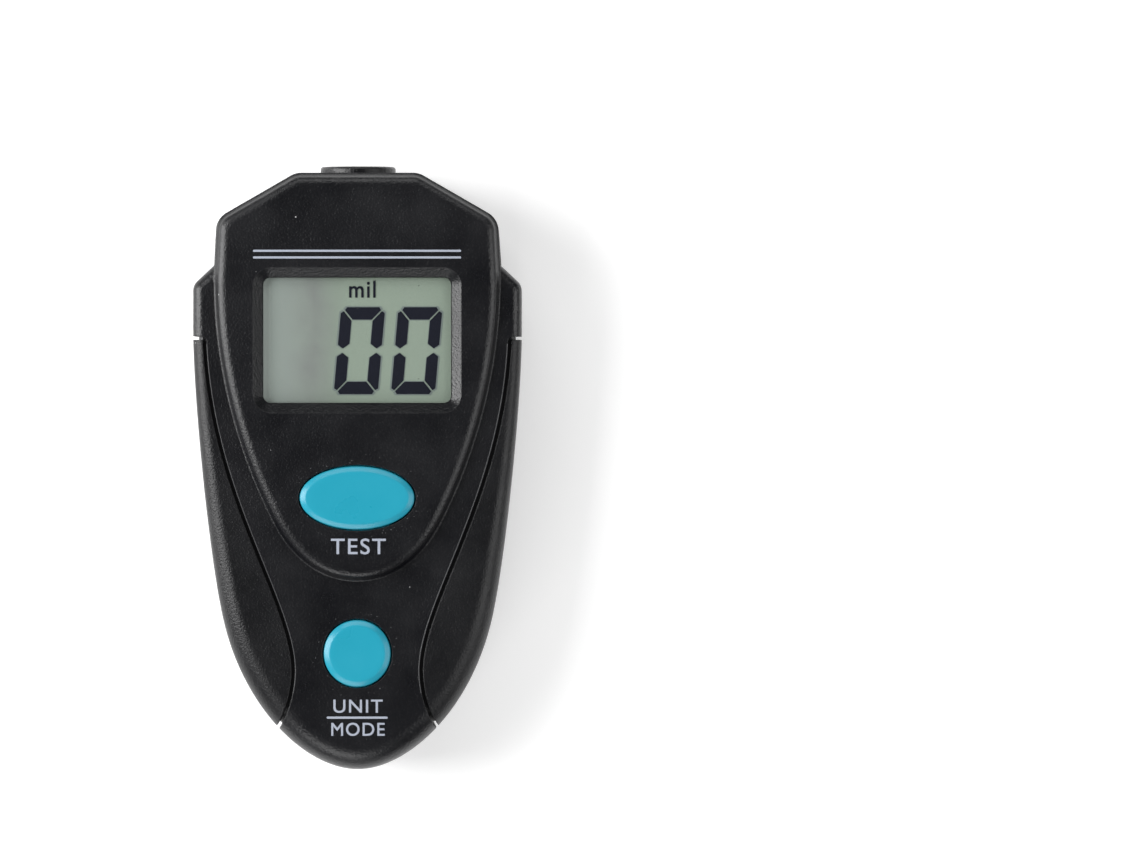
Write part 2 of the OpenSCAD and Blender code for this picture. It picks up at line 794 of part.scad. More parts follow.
module crystal_can() {
    can_l = 10;
    can_w = 4;
    can_h = 3.4;
    can_up = 5;
    brim_w = 0.4;
    brim_h = 0.5;
    color([0.75, 0.76, 0.78]) translate([board_w / 2 - can_l, y_test + can_up, z_board_top]) {
        linear_extrude(can_h) plate(can_l, can_w, can_w / 2 - slip);
        linear_extrude(brim_h) plate(can_l + 2 * brim_w, can_w + 2 * brim_w, can_w / 2);
    }
}

// A key's cap, flange and post
module test_key() {
    top = z_shield + key_proud;
    flange_top = z_shield_ceiling - slip;
    color([0.19, 0.66, 0.77]) translate([0, y_test, 0]) {
        loft(concat(
            [level(oval(test_w, test_l), flange_top - key_flange)],
            [for (a = edge_angles(true)) let (in = 2 * key_rim * (1 - cos(a)))
                level(oval(test_w - in, test_l - in), top - key_rim * (1 - sin(a)))]
        ));
        translate([0, 0, flange_top - key_flange]) linear_extrude(key_flange)
            polygon(oval(test_w + 2 * (key_gap + key_lap), test_l + 2 * (key_gap + key_lap)));
        translate([0, 0, z_stem]) cylinder(d = key_post_d, h = flange_top - z_stem);
    }
}
module mode_key() {
    top = case_t + key_proud;
    flange_top = z_ceiling - slip;
    r = mode_d / 2;
    rim = [for (a = edge_angles(true)) [r, top] + key_rim * [cos(a) - 1, sin(a) - 1]];
    color([0.19, 0.66, 0.77]) translate([0, y_mode, 0]) rotate_extrude() polygon(concat(
        [
            [0, z_stem], [key_post_d / 2, z_stem], [key_post_d / 2, flange_top - key_flange],
            [r + key_gap + key_lap, flange_top - key_flange], [r + key_gap + key_lap, flange_top],
            [r, flange_top]
        ],
        rim,
        [[0, top]]
    ));
}

// Push switches on the board
stem_sunk = 0.5;
module switch_body(y) {
    color([0.2, 0.2, 0.21]) translate([0, y, z_board_top]) difference() {
        translate([-switch_w / 2, -switch_w / 2, 0]) cube([switch_w, switch_w, switch_h]);
        translate([0, 0, switch_h - stem_sunk - key_travel - slip])
            cylinder(d = stem_d + 2 * fit, h = stem_sunk + key_travel + slip + cut);
    }
}
module switch_stem(y) {
    color([0.85, 0.84, 0.8]) translate([0, y, z_stem - stem_out - stem_sunk])
        cylinder(d = stem_d, h = stem_out + stem_sunk);
}
module test_switch() {
    switch_body(y_test);
}
module mode_switch() {
    switch_body(y_mode);
}
module test_stem() {
    switch_stem(y_test);
}
module mode_stem() {
    switch_stem(y_mode);
}

// Probe: a sleeve that holds a wound bobbin on a core
bobbin_sunk = 0.5;
bobbin_flange = 0.9;
bobbin_short = 1.4;
bobbin_wall = 0.6;
bobbin_l = sleeve_l - bobbin_short;
bobbin_back = sleeve_front - bobbin_sunk - bobbin_l;
bobbin_tube = core_d / 2 + slip + bobbin_wall;
module probe_sleeve() {
    edge = 0.5;
    r = sleeve_d / 2;
    stop = stop_front - sleeve_back;
    color([0.14, 0.14, 0.15]) along_y(sleeve_back) rotate_extrude() polygon(concat(
        [
            [sleeve_bore / 2, 0], [r, 0], [r, stop - stop_t], [stop_d / 2, stop - stop_t],
            [stop_d / 2, stop], [r, stop]
        ],
        [for (a = [0:30:90]) [r - edge + edge * cos(a), sleeve_l - edge + edge * sin(a)]],
        [[sleeve_bore / 2, sleeve_l]]
    ));
}
module probe_bobbin() {
    r = sleeve_bore / 2 - slip;
    color([0.25, 0.22, 0.2]) along_y(bobbin_back) rotate_extrude() polygon([
        [core_d / 2 + slip, 0], [r, 0], [r, bobbin_flange], [bobbin_tube, bobbin_flange],
        [bobbin_tube, bobbin_l - bobbin_flange], [r, bobbin_l - bobbin_flange], [r, bobbin_l],
        [core_d / 2 + slip, bobbin_l]
    ]);
}
module probe_winding() {
    turns_gap = slip / 2;
    h = bobbin_l - 2 * bobbin_flange - 2 * turns_gap;
    color([0.72, 0.4, 0.2]) along_y(bobbin_back + bobbin_flange + turns_gap) difference() {
        cylinder(r = sleeve_bore / 2 - 6 * slip, h = h);
        translate([0, 0, -cut]) cylinder(r = bobbin_tube + turns_gap, h = h + 2 * cut);
    }
}
module probe_core() {
    r = core_d / 2;
    dome = r * 0.4;
    h = bobbin_l + bobbin_sunk - slip;
    color([0.7, 0.71, 0.73]) along_y(bobbin_back) rotate_extrude() polygon(concat(
        [[0, 0], [r, 0], [r, h - dome]],
        [for (a = [15:15:90]) [r * cos(a), h - dome + dome * sin(a)]]
    ));
}

// A wire swept along a row of points
wire_sides = 8;
module wire(path, d) {
    last = len(path) - 1;
    loft([for (i = [0:last])
        let (
            t = unit(path[min(i + 1, last)] - path[max(i - 1, 0)]),
            u = unit(cross(t, abs(t.z) < 0.9 ? [0, 0, 1] : [1, 0, 0])),
            v = cross(t, u)
        )
        [for (j = [0:wire_sides - 1])
            let (a = -j * 360 / wire_sides) path[i] + d / 2 * (u * cos(a) + v * sin(a))]]);
}
coil_steps = 16;
function coil(r0, r1, y0, y1, turns) =
    [for (i = [0:turns * coil_steps])
        let (t = i / (turns * coil_steps), a = 360 * i / coil_steps, r = r0 + (r1 - r0) * t)
        [r * cos(a), y0 + (y1 - y0) * t, r * sin(a)]];
module probe_spring() {
    r = (sleeve_d + sleeve_bore) / 4;
    end_gap = spring_wire / 2 + fit;
    color([0.7, 0.71, 0.73]) translate([0, 0, joint_z])
        wire(coil(r, r, spring_seat + end_gap, sleeve_back - end_gap, spring_turns), spring_wire);
}
module probe_leads() {
    lead_d = 0.8;
    lead_x = 1.2;
    bend = 1.2;
    lead_in = 4;
    low = joint_z;
    high = z_board - lead_d / 2 - fit;
    from = bobbin_back - fit;
    rib = spring_seat - rib_t;
    to = y_window + lcd_l / 2 - lead_in;
    color([0.75, 0.15, 0.12]) for (side = [-1, 1]) wire(concat(
        [[side * lead_x, from, low]],
        curve([
            [side * lead_x, rib, low], [side * lead_x, rib - bend, low],
            [side * lead_x, to + 2 * bend, high], [side * lead_x, to, high]
        ], arc_steps + 2)
    ), lead_d);
}

// Battery door: plate with finger grooves, hinge barrel and pins
module battery_door() {
    notch_w = 0.8;
    notch_pitch = 2;
    notch_l = 9.4;
    notch_d = 0.4;
    notch_in = 5;
    notches = 4;
    color([0.12, 0.12, 0.13]) {
        difference() {
            translate([-door_w / 2, door_low, door_sunk]) cube([door_w, hinge_y - door_low, door_t]);
            for (i = [0:notches - 1]) translate([0, door_low + notch_in + i * notch_pitch, door_sunk])
                cube([notch_l, notch_w, 2 * notch_d], center = true);
        }
        translate([0, hinge_y, hinge_z]) rotate([0, 90, 0]) {
            cylinder(d = barrel_d, h = door_w, center = true);
            cylinder(d = hinge_pin_d, h = door_w + 2 * hinge_pin_l, center = true);
        }
    }
}

// Cells lie head to tail, each pressed by a contact spring
well_end = well_l / 2 - slip;
nub_end = well_end - plate_t - fit;
spring_end = nub_end - cell_l;
module cell() {
    nub_h = 1;
    nub_d = 3.8;
    edge = 0.6;
    r = cell_d / 2 - fit;
    color([0.55, 0.57, 0.6]) rotate_extrude() polygon([
        [0, 0], [r - edge, 0], [r, edge], [r, cell_l - nub_h - edge], [r - edge, cell_l - nub_h],
        [nub_d / 2, cell_l - nub_h], [nub_d / 2, cell_l], [0, cell_l]
    ]);
}
module right_cell() {
    translate([cell_x, y_well + nub_end - cell_l, z_cell]) rotate([-90, 0, 0]) cell();
}
module left_cell() {
    translate([-cell_x, y_well - nub_end + cell_l, z_cell]) rotate([90, 0, 0]) cell();
}
contact_w = 8;
contact_wire = 0.5;
module contact_spring() {
    wide = 3.4;
    narrow = 2.2;
    turns = 3;
    gap = contact_wire / 2 + fit;
    wire(coil(wide, narrow, gap - well_end + plate_t, spring_end - gap, turns), contact_wire);
}
module contact_plate(w) {
    translate([-w / 2, -well_end, -contact_w / 2]) cube([w, plate_t, contact_w]);
}
module bridge_contact() {
    color([0.78, 0.78, 0.76]) translate([0, y_well, z_cell]) {
        contact_plate(2 * cell_x + contact_w);
        translate([cell_x, 0, 0]) contact_spring();
    }
}
module terminal_contacts() {
    color([0.78, 0.78, 0.76]) translate([0, y_well, z_cell]) rotate([0, 0, 180]) {
        for (side = [-1, 1]) translate([side * cell_x, 0, 0]) contact_plate(contact_w);
        translate([cell_x, 0, 0]) contact_spring();
    }
}

// Screws with a cross recess, head down
module screw(d, shank, head_d, head_h) {
    slot_w = d * 0.32;
    slot_l = head_d * 0.6;
    difference() {
        union() {
            cylinder(d = d, h = shank);
            translate([0, 0, -head_h]) cylinder(d = head_d, h = head_h);
        }
        for (turn = [0, 90]) rotate([0, 0, turn]) translate([0, 0, -head_h])
            cube([slot_l, slot_w, head_h], center = true);
    }
}
module case_screws() {
    color([0.6, 0.61, 0.63]) at_each(screw_places) translate([0, 0, joint_z - screw_land])
        screw(screw_d, screw_land + screw_bite, screw_head_d, screw_head_h);
}
module board_screws() {
    color([0.6, 0.61, 0.63]) at_each(board_places) translate([0, 0, z_board])
        screw(board_screw_d, board_t + board_bite, board_head_d, board_head_h - slip);
}

front_shell();
rear_shell();
left_grip();
right_grip();
display_window();
lcd_glass();
contact_strips();
main_board();
controller_chip();
crystal_can();
test_key();
mode_key();
test_switch();
mode_switch();
test_stem();
mode_stem();
probe_sleeve();
probe_bobbin();
probe_winding();
probe_core();
probe_spring();
probe_leads();
battery_door();
left_cell();
right_cell();
bridge_contact();
terminal_contacts();
case_screws();
board_screws();
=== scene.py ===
import math

import bmesh
import bpy
from mathutils import Matrix, Vector


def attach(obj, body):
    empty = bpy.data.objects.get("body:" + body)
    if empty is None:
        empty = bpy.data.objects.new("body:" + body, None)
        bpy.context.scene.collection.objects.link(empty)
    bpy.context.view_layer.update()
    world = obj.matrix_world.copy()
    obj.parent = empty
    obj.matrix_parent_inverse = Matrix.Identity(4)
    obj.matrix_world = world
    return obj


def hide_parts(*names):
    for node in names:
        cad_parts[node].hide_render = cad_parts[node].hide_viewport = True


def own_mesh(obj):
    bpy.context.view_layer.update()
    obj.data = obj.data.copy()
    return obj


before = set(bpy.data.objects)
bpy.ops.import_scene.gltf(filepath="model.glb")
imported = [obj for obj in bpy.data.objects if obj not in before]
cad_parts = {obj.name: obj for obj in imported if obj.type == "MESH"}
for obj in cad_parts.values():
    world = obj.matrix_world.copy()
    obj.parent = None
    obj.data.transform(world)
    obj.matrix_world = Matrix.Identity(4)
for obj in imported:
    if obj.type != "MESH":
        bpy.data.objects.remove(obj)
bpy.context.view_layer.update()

# Sizes are in millimetres, as in the CAD source. Meshes become metres when they are placed.
MM = 0.001
PAST = 1.0  # how far a cutter reaches past what it cuts
SMOOTH = 32  # degrees, edges sharper than this stay sharp

# Heights
JOINT_Z = 13.5  # where the two shells meet
CASE_T, SHIELD_H, WALL = 25.2, 2, 2.2
WINDOW_DEPTH = 1.5
Z_SHIELD = CASE_T + SHIELD_H
Z_SHIELD_CEILING = Z_SHIELD - WALL
Z_CEILING = CASE_T - WALL
Z_WINDOW = Z_SHIELD - WINDOW_DEPTH
Z_LCD = 24.2

# Plan, right of the middle line
Y_TAIL, Y_END = -56.95, 55.65
CASE_HALF, HEAD_HALF, HEAD_FLAT, SHIELD_HALF = 31, 26.5, 11.6, 27.1
Y_HEAD_SIDE, HEAD_R = 47.05, 4
Y_SIDE, Y_SHOULDER, SHOULDER_R, TUCK_REACH = 34.5, 38.15, 2.4, 11
Y_SHIELD_BEND, Y_SHIELD_FOOT = 35.55, -21.55
Y_CASE_BEND, WAIST_LEAN = 26.1, 13  # the lean is in degrees

# Display, keys and probe
Y_WINDOW, WINDOW_W, WINDOW_L, WINDOW_R = 24.05, 35.4, 23.6, 1.4
FRAME_WIDER, FRAME_R = 3.8, 2.1  # how much wider and rounder the window's frame is at the panel
FRAME_ENDS = ((Z_WINDOW - 0.02, -0.013), (Z_SHIELD + 0.5, 1.333))  # height, and share of the slope there
SEAT_WIDER, SEAT_R, SEAT_DEPTH = 3.2, 2.6, 1.3
Y_TEST, TEST_W, TEST_L = -5.65, 21.6, 11.9
Y_MODE, MODE_D = -35.0, 12.6
KEY_GAP, KEY_H = 0.3, 0.8
BORE_R, Y_BORE, PROBE_TRAVEL = 7.2, (44, 58), 1.2

# Grips, and the hollow of the front shell
RECESS, GROOVE, GRIP_GAP, GRIP_BACK = 1.1, 0.7, 0.08, 4.5
HOLLOW_IN = RECESS + WALL / 2 + 0.1
BELOW_HALF_W, BELOW_HALF_L, BELOW_H = 60, 90, 6  # cutter for all that lies under the joint


# Outlines
def bezier(p, t):
    s = 1 - t
    weights = (s ** 3, 3 * s * s * t, 3 * s * t * t, t ** 3)
    return sum((Vector(q) * k for q, k in zip(p, weights)), Vector((0, 0)))


def curve(p, steps):
    """Points of a cubic curve, without its first."""
    return [bezier(p, (i + 1) / steps) for i in range(steps)]


def rounded(a, b, c, r, steps):
    """Arc of radius r in the corner b between a and c."""
    a, b, c = Vector(a), Vector(b), Vector(c)
    u, v = (a - b).normalized(), (c - b).normalized()
    half = math.acos(u.dot(v)) / 2
    middle = b + (u + v).normalized() * r / math.sin(half)
    start = b + u * r / math.tan(half) - middle
    turn = (math.pi - 2 * half) / steps
    return [middle + Matrix.Rotation(-i * turn, 2) @ start for i in range(steps + 1)]


def mitres(half):
    """Inward mitre of each point of a right half outline that runs from the head to the tail."""
    def inward(a, b):
        return Vector((b.y - a.y, a.x - b.x)).normalized()
    out = []
    for i, p in enumerate(half):
        before = Vector((-half[1].x, half[1].y)) if i == 0 else half[i - 1]
        after = Vector((-half[-2].x, half[-2].y)) if i == len(half) - 1 else half[i + 1]
        m, n = inward(before, p), inward(p, after)
        out.append((m + n) / (1 + m.dot(n)))
    return out


def inset(half, d):
    return [p + m * d for p, m in zip(half, mitres(half))]


def level(line, z):
    return [(p.x, p.y, z) for p in line]


def whole(half):
    """Both halves of an outline whose first point is the middle of a straight edge."""
    return list(half[1:]) + [(-p[0],) + tuple(p[1:]) for p in half[-2:0:-1]]


def rectangle(half_w, half_l):
    return [(-half_w, -half_l), (half_w, -half_l), (half_w, half_l), (-half_w, half_l)]


def plate(w, l, r, y, steps=6):
    """Rectangle with round corners."""
    out = []
    for cx, cy, start in ((1, 1, 0), (-1, 1, 90), (-1, -1, 180), (1, -1, 270)):
        for k in range(steps + 1):
            a = math.radians(start + 90 * k / steps)
            out.append((cx * (w / 2 - r) + r * math.cos(a), y + cy * (l / 2 - r) + r * math.sin(a)))
    return out


def oval(w, l, y, steps=96):
    turn = [2 * math.pi * i / steps for i in range(steps)]
    return [(w / 2 * math.sin(a), y + l / 2 * math.cos(a)) for a in turn]


HEAD_TOP, HEAD_CORNER = (HEAD_FLAT, Y_END), (HEAD_HALF, Y_HEAD_SIDE)
HEAD = [Vector((0, Y_END))]
HEAD += rounded((0, Y_END), HEAD_TOP, HEAD_CORNER, HEAD_R, 8)
HEAD += rounded(HEAD_TOP, HEAD_CORNER, (SHIELD_HALF, Y_SHOULDER), HEAD_R, 8)
BEND = Vector((SHIELD_HALF, Y_SHIELD_BEND))
NOSE = Vector((16.3, -9.65))
NOSE_DIR = Vector((-0.5, -1)).normalized()
NOSE_UP, NOSE_DOWN = 12.7, 2.7
BEND_HANDLE, FOOT_HANDLE = (SHIELD_HALF, 17.75), (10.4, Y_SHIELD_FOOT)
SHIELD = HEAD + [BEND]
SHIELD += curve([BEND, BEND_HANDLE, NOSE - NOSE_DIR * NOSE_UP, NOSE], 40)
SHIELD += curve([NOSE, NOSE + NOSE_DIR * NOSE_DOWN, FOOT_HANDLE, (0, Y_SHIELD_FOOT)], 24)

SIDE = Vector((CASE_HALF, Y_SIDE))
SIDE_BEND = Vector((CASE_HALF, Y_CASE_BEND))
TUCK = SIDE + Vector((SHIELD_HALF - CASE_HALF, Y_SHOULDER - Y_SIDE)).normalized() * TUCK_REACH
WAIST = Vector((25.3, -28.85))
WAIST_DIR = Vector((-math.sin(math.radians(WAIST_LEAN)), -math.cos(math.radians(WAIST_LEAN))))
WAIST_UP, WAIST_DOWN = 12, 17.4
SIDE_HANDLE, TAIL_HANDLE = (CASE_HALF, 13.3), (9.5, Y_TAIL)
CASE = [Vector((0, TUCK.y)), TUCK] + rounded(TUCK, SIDE, SIDE_BEND, SHOULDER_R, 8) + [SIDE_BEND]
CASE += curve([SIDE_BEND, SIDE_HANDLE, WAIST - WAIST_DIR * WAIST_UP, WAIST], 36)
CASE += curve([WAIST, WAIST + WAIST_DIR * WAIST_DOWN, TAIL_HANDLE, (0, Y_TAIL)], 36)

# Roundings of the case's edges at the shoulders and at the tail
FRONT_R, BACK_R, LEAST_R = (1.9, 4.6), (6, 9), 0.3
ANGLES = [math.radians(90 * k / 9) for k in range(10)]


def grow(y, a, b):
    """Value that goes smoothly from a at the shoulders to b at the tail."""
    t = max(0, min(1, (Y_SIDE - y) / (Y_SIDE - Y_TAIL)))
    return a + (b - a) * t * t * (3 - 2 * t)


def edge_loop(line, d, a, front):
    """Loop at angle a of the front's or back's rounding, d inside the skin."""
    out = []
    for p, m in zip(line, mitres(line)):
        r = max(grow(p.y, *(FRONT_R if front else BACK_R)) - d, LEAST_R)
        q = p + m * (d + r * (1 - math.cos(a)))
        drop = d + r * (1 - math.sin(a))
        out.append((q.x, q.y, CASE_T - drop if front else drop))
    return out


# Meshes
def link_new(name, data):
    obj = bpy.data.objects.new(name, data)
    bpy.context.scene.collection.objects.link(obj)
    return obj


def finished_mesh(obj):
    bpy.context.view_layer.update()
    return bpy.data.meshes.new_from_object(obj.evaluated_get(bpy.context.evaluated_depsgraph_get()))


def make(name, verts, faces):
    mesh = bpy.data.meshes.new(name)
    mesh.from_pydata([tuple(v) for v in verts], [], faces)
    bm = bmesh.new()
    bm.from_mesh(mesh)
    bmesh.ops.recalc_face_normals(bm, faces=bm.faces)
    bm.to_mesh(mesh)
    bm.free()
    return link_new(name, mesh)


def loft(name, loops):
    """Closed skin over loops with equally many points, with a face at each end."""
    n = len(loops[0])
    faces = [
        (k * n + j, k * n + (j + 1) % n, (k + 1) * n + (j + 1) % n, (k + 1) * n + j)
        for k in range(len(loops) - 1) for j in range(n)
    ]
    faces += [tuple(range(n)), tuple(range((len(loops) - 1) * n, len(loops) * n))]
    return make(name, [p for loop in loops for p in loop], faces)


def prism(name, outline, low, high):
    return loft(name, [[(p[0], p[1], z) for p in outline] for z in (low, high)])


def tube_y(name, r, y0, y1, steps=64):
    turn = [2 * math.pi * i / steps for i in range(steps)]
    return loft(name, [[(r * math.cos(a), y, JOINT_Z + r * math.sin(a)) for a in turn] for y in (y0, y1)])


def flipped(obj, name):
    """Copy for the other side of the middle line."""
    mesh = obj.data.copy()
    mesh.transform(Matrix.Scale(-1, 4, (1, 0, 0)))
    mesh.flip_normals()
    return link_new(name, mesh)


def carve(obj, tools, operation="DIFFERENCE", solver="EXACT"):
    """Cuts the tools out of obj, or joins or keeps what they share, and uses them up."""
    for tool in tools:
        step = obj.modifiers.new("carve", "BOOLEAN")
        step.operation = operation
        step.solver = solver
        step.object = tool
    mesh = finished_mesh(obj)
    obj.modifiers.clear()
    obj.data = mesh
    for tool in tools:
        bpy.data.objects.remove(tool)
    return obj


def join(name, parts):
    """One object of several, which are used up."""
    bm = bmesh.new()
    for part in parts:
        bm.from_mesh(part.data)
        bpy.data.objects.remove(part)
    mesh = bpy.data.meshes.new(name)
    bm.to_mesh(mesh)
    bm.free()
    return link_new(name, mesh)


def even_normals(obj):
    weight = obj.modifiers.new("even normals", "WEIGHTED_NORMAL")
    weight.keep_sharp = True


def place(obj, material, body, replaced=(), angle=SMOOTH):
    """Turns a finished mesh into metres, shades it, and hangs it on its body."""
    mesh = obj.data
    mesh.transform(Matrix.Scale(MM, 4))
    mesh.materials.clear()
    mesh.materials.append(material)
    mesh.polygons.foreach_set("use_smooth", [True] * len(mesh.polygons))
    mesh.set_sharp_from_angle(angle=math.radians(angle))
    even_normals(obj)
    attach(obj, body)
    if replaced:
        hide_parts(*replaced)
    return obj


# Shared shader effects
UPWARD = 0.6  # least upward part of the normal where dust lies


def group(name, inputs, outputs):
    tree = bpy.data.node_groups.new(name, "ShaderNodeTree")
    for label, kind, value in inputs:
        socket = tree.interface.new_socket(label, in_out="INPUT", socket_type="NodeSocket" + kind)
        socket.default_value = value
    for label, kind in outputs:
        tree.interface.new_socket(label, in_out="OUTPUT", socket_type="NodeSocket" + kind)
    return tree, tree.nodes.new("NodeGroupInput"), tree.nodes.new("NodeGroupOutput")


def node(tree, kind, **values):
    """New shader node, whose values are settings or, where it has no such setting, inputs."""
    n = tree.nodes.new("ShaderNode" + kind)
    for key, value in values.items():
        if hasattr(n, key):
            setattr(n, key, value)
        else:
            n.inputs[key.replace("_", " ")].default_value = value
    return n


def math_node(tree, operation, a, b=None, c=None, clamp=False):
    n = tree.nodes.new("ShaderNodeMath")
    n.operation = operation
    n.use_clamp = clamp
    for socket, value in zip(n.inputs, (a, b, c)):
        if value is None:
            continue
        if isinstance(value, (int, float)):
            socket.default_value = value
        else:
            tree.links.new(value, socket)
    return n.outputs[0]


def scattered(tree, where, spacing, chance, spread, least):
    """Round specks of uneven size, in the share of cells that chance gives."""
    cells = node(tree, "TexVoronoi")
    tree.links.new(where, cells.inputs["Vector"])
    tree.links.new(spacing, cells.inputs["Scale"])
    pick = node(tree, "SeparateColor")
    tree.links.new(cells.outputs["Color"], pick.inputs["Color"])
    chosen = math_node(tree, "LESS_THAN", pick.outputs["Red"], chance)
    size = math_node(tree, "ADD", math_node(tree, "MULTIPLY", pick.outputs["Green"], spread), least)
    close = math_node(tree, "LESS_THAN", cells.outputs["Distance"], size)
    return math_node(tree, "MULTIPLY", chosen, close)


def facing_up(tree):
    facing = node(tree, "SeparateXYZ")
    tree.links.new(node(tree, "NewGeometry").outputs["Normal"], facing.inputs["Vector"])
    return math_node(tree, "GREATER_THAN", facing.outputs["Z"], UPWARD)


def grain_group():
    """Moulded skin: a fine pebble with a soft unevenness under it."""
    tree, take, give = group(
        "Moulded_Grain",
        [("Pebble", "Float", 2600.0), ("Unevenness", "Float", 90.0)],
        [("Height", "Float"), ("Patch", "Float")],
    )
    where = node(tree, "TexCoord").outputs["Object"]
    fine = node(tree, "TexNoise", Detail=2.0, Roughness=0.6)
    cells = node(tree, "TexVoronoi", feature="SMOOTH_F1")
    broad = node(tree, "TexNoise", Detail=4.0, Roughness=0.55)
    for n, scale in ((fine, "Pebble"), (cells, "Pebble"), (broad, "Unevenness")):
        tree.links.new(where, n.inputs["Vector"])
        tree.links.new(take.outputs[scale], n.inputs["Scale"])
    pebble = math_node(tree, "MULTIPLY", cells.outputs["Distance"], 0.7)
    tree.links.new(math_node(tree, "ADD", fine.outputs["Fac"], pebble), give.inputs["Height"])
    tree.links.new(broad.outputs["Fac"], give.inputs["Patch"])
    return tree


def dust_group():
    """Specks and lint that lie on what faces up."""
    tree, take, give = group(
        "Dust_Specks",
        [("Spacing", "Float", 420.0), ("Amount", "Float", 0.1)],
        [("Mask", "Float")],
    )
    where = node(tree, "TexCoord").outputs["Object"]
    speck = scattered(tree, where, take.outputs["Spacing"], take.outputs["Amount"], 0.045, 0.02)
    lint = node(tree, "TexNoise", Scale=5200.0, Detail=1.0)
    tree.links.new(where, lint.inputs["Vector"])
    haze = node(tree, "MapRange", From_Min=0.66, From_Max=0.8, To_Max=0.18)
    tree.links.new(lint.outputs["Fac"], haze.inputs["Value"])
    thin = math_node(tree, "MULTIPLY", haze.outputs["Result"], take.outputs["Amount"])
    both = math_node(tree, "MAXIMUM", speck, thin)
    tree.links.new(math_node(tree, "MULTIPLY", both, facing_up(tree), clamp=True), give.inputs["Mask"])
    return tree


def key_dust_group():
    """Fine dust that gathers round the two keys."""
    tree, take, give = group("Key_Dust", [("Spacing", "Float", 1900.0)], [("Mask", "Float")])
    where = node(tree, "TexCoord").outputs["Object"]
    rings = []
    for y, w, l in ((Y_TEST, TEST_W, TEST_L), (Y_MODE, MODE_D, MODE_D)):
        offset = node(tree, "VectorMath", operation="MULTIPLY_ADD")
        tree.links.new(where, offset.inputs[0])
        offset.inputs[1].default_value = (2 / (w * MM), 2 / (l * MM), 0)
        offset.inputs[2].default_value = (0, -2 * y / l, 0)
        away = node(tree, "VectorMath", operation="LENGTH")
        tree.links.new(offset.outputs["Vector"], away.inputs[0])
        fade = node(tree, "MapRange", From_Min=1.08, From_Max=1.5, To_Min=0.6, To_Max=0.0)
        tree.links.new(away.outputs["Value"], fade.inputs["Value"])
        rings.append(fade.outputs["Result"])
    chance = math_node(tree, "MAXIMUM", *rings)
    speck = scattered(tree, where, take.outputs["Spacing"], chance, 0.12, 0.06)
    tree.links.new(math_node(tree, "MULTIPLY", speck, facing_up(tree)), give.inputs["Mask"])
    return tree


def edge_group():
    """Small rounding of every edge, and a mask of the edges that are drawn paler: partly where handling has
    rubbed them, partly a painted highlight.
    """
    tree, take, give = group(
        "Rubbed_And_Highlighted_Edges",
        [("Rounding", "Float", 0.00018), ("Strength", "Float", 1.0)],
        [("Normal", "Vector"), ("Mask", "Float")],
    )
    bevel = node(tree, "Bevel", samples=4)
    tree.links.new(take.outputs["Rounding"], bevel.inputs["Radius"])
    turn = node(tree, "VectorMath", operation="DOT_PRODUCT")
    tree.links.new(bevel.outputs["Normal"], turn.inputs[0])
    tree.links.new(node(tree, "NewGeometry").outputs["Normal"], turn.inputs[1])
    patch = node(tree, "TexNoise", Scale=350.0, Detail=4.0)
    tree.links.new(node(tree, "TexCoord").outputs["Object"], patch.inputs["Vector"])
    bent = math_node(tree, "SUBTRACT", 1.0, turn.outputs["Value"])
    edge_paling = math_node(tree, "MULTIPLY", bent, patch.outputs["Fac"])
    mask = math_node(tree, "MULTIPLY", edge_paling, take.outputs["Strength"], clamp=True)
    tree.links.new(mask, give.inputs["Mask"])
    tree.links.new(bevel.outputs["Normal"], give.inputs["Normal"])
    return tree


GRAIN, DUST, KEY_DUST, EDGES = grain_group(), dust_group(), key_dust_group(), edge_group()


def effect(tree, kind, **values):
    n = tree.nodes.new("ShaderNodeGroup")
    n.node_tree = kind
    for key, value in values.items():
        n.inputs[key].default_value = value
    return n


def mixed(tree, fac, a, b):
    n = node(tree, "Mix", data_type="RGBA")
    for socket, value in ((n.inputs["Factor"], fac), (n.inputs[6], a), (n.inputs[7], b)):
        if isinstance(value, tuple):
            socket.default_value = (*value, 1)
        else:
            tree.links.new(value, socket)
    return n.outputs[2]


def ranged(tree, value, low, high, **limits):
    """Value spread between low and high."""
    n = node(tree, "MapRange", To_Min=low, To_Max=high, **limits)
    tree.links.new(value, n.inputs["Value"])
    return n.outputs["Result"]


def new_material(name):
    material = bpy.data.materials.new(name)
    material.use_nodes = True
    return material, material.node_tree, material.node_tree.nodes["Principled BSDF"]


# Materials
BUMP_DEPTH = 0.0001  # metres
SPECK_COLOUR, KEY_DUST_COLOUR = (0.42, 0.42, 0.43), (0.16, 0.16, 0.165)
GLOSS_SPREAD = 0.06
EDGE_WEAR_AND_HIGHLIGHT_GAIN, EDGE_WEAR_AND_HIGHLIGHT_LIFT = 1.8, 0.03  # how much paler an edge is drawn, for rubbed wear and painted highlight
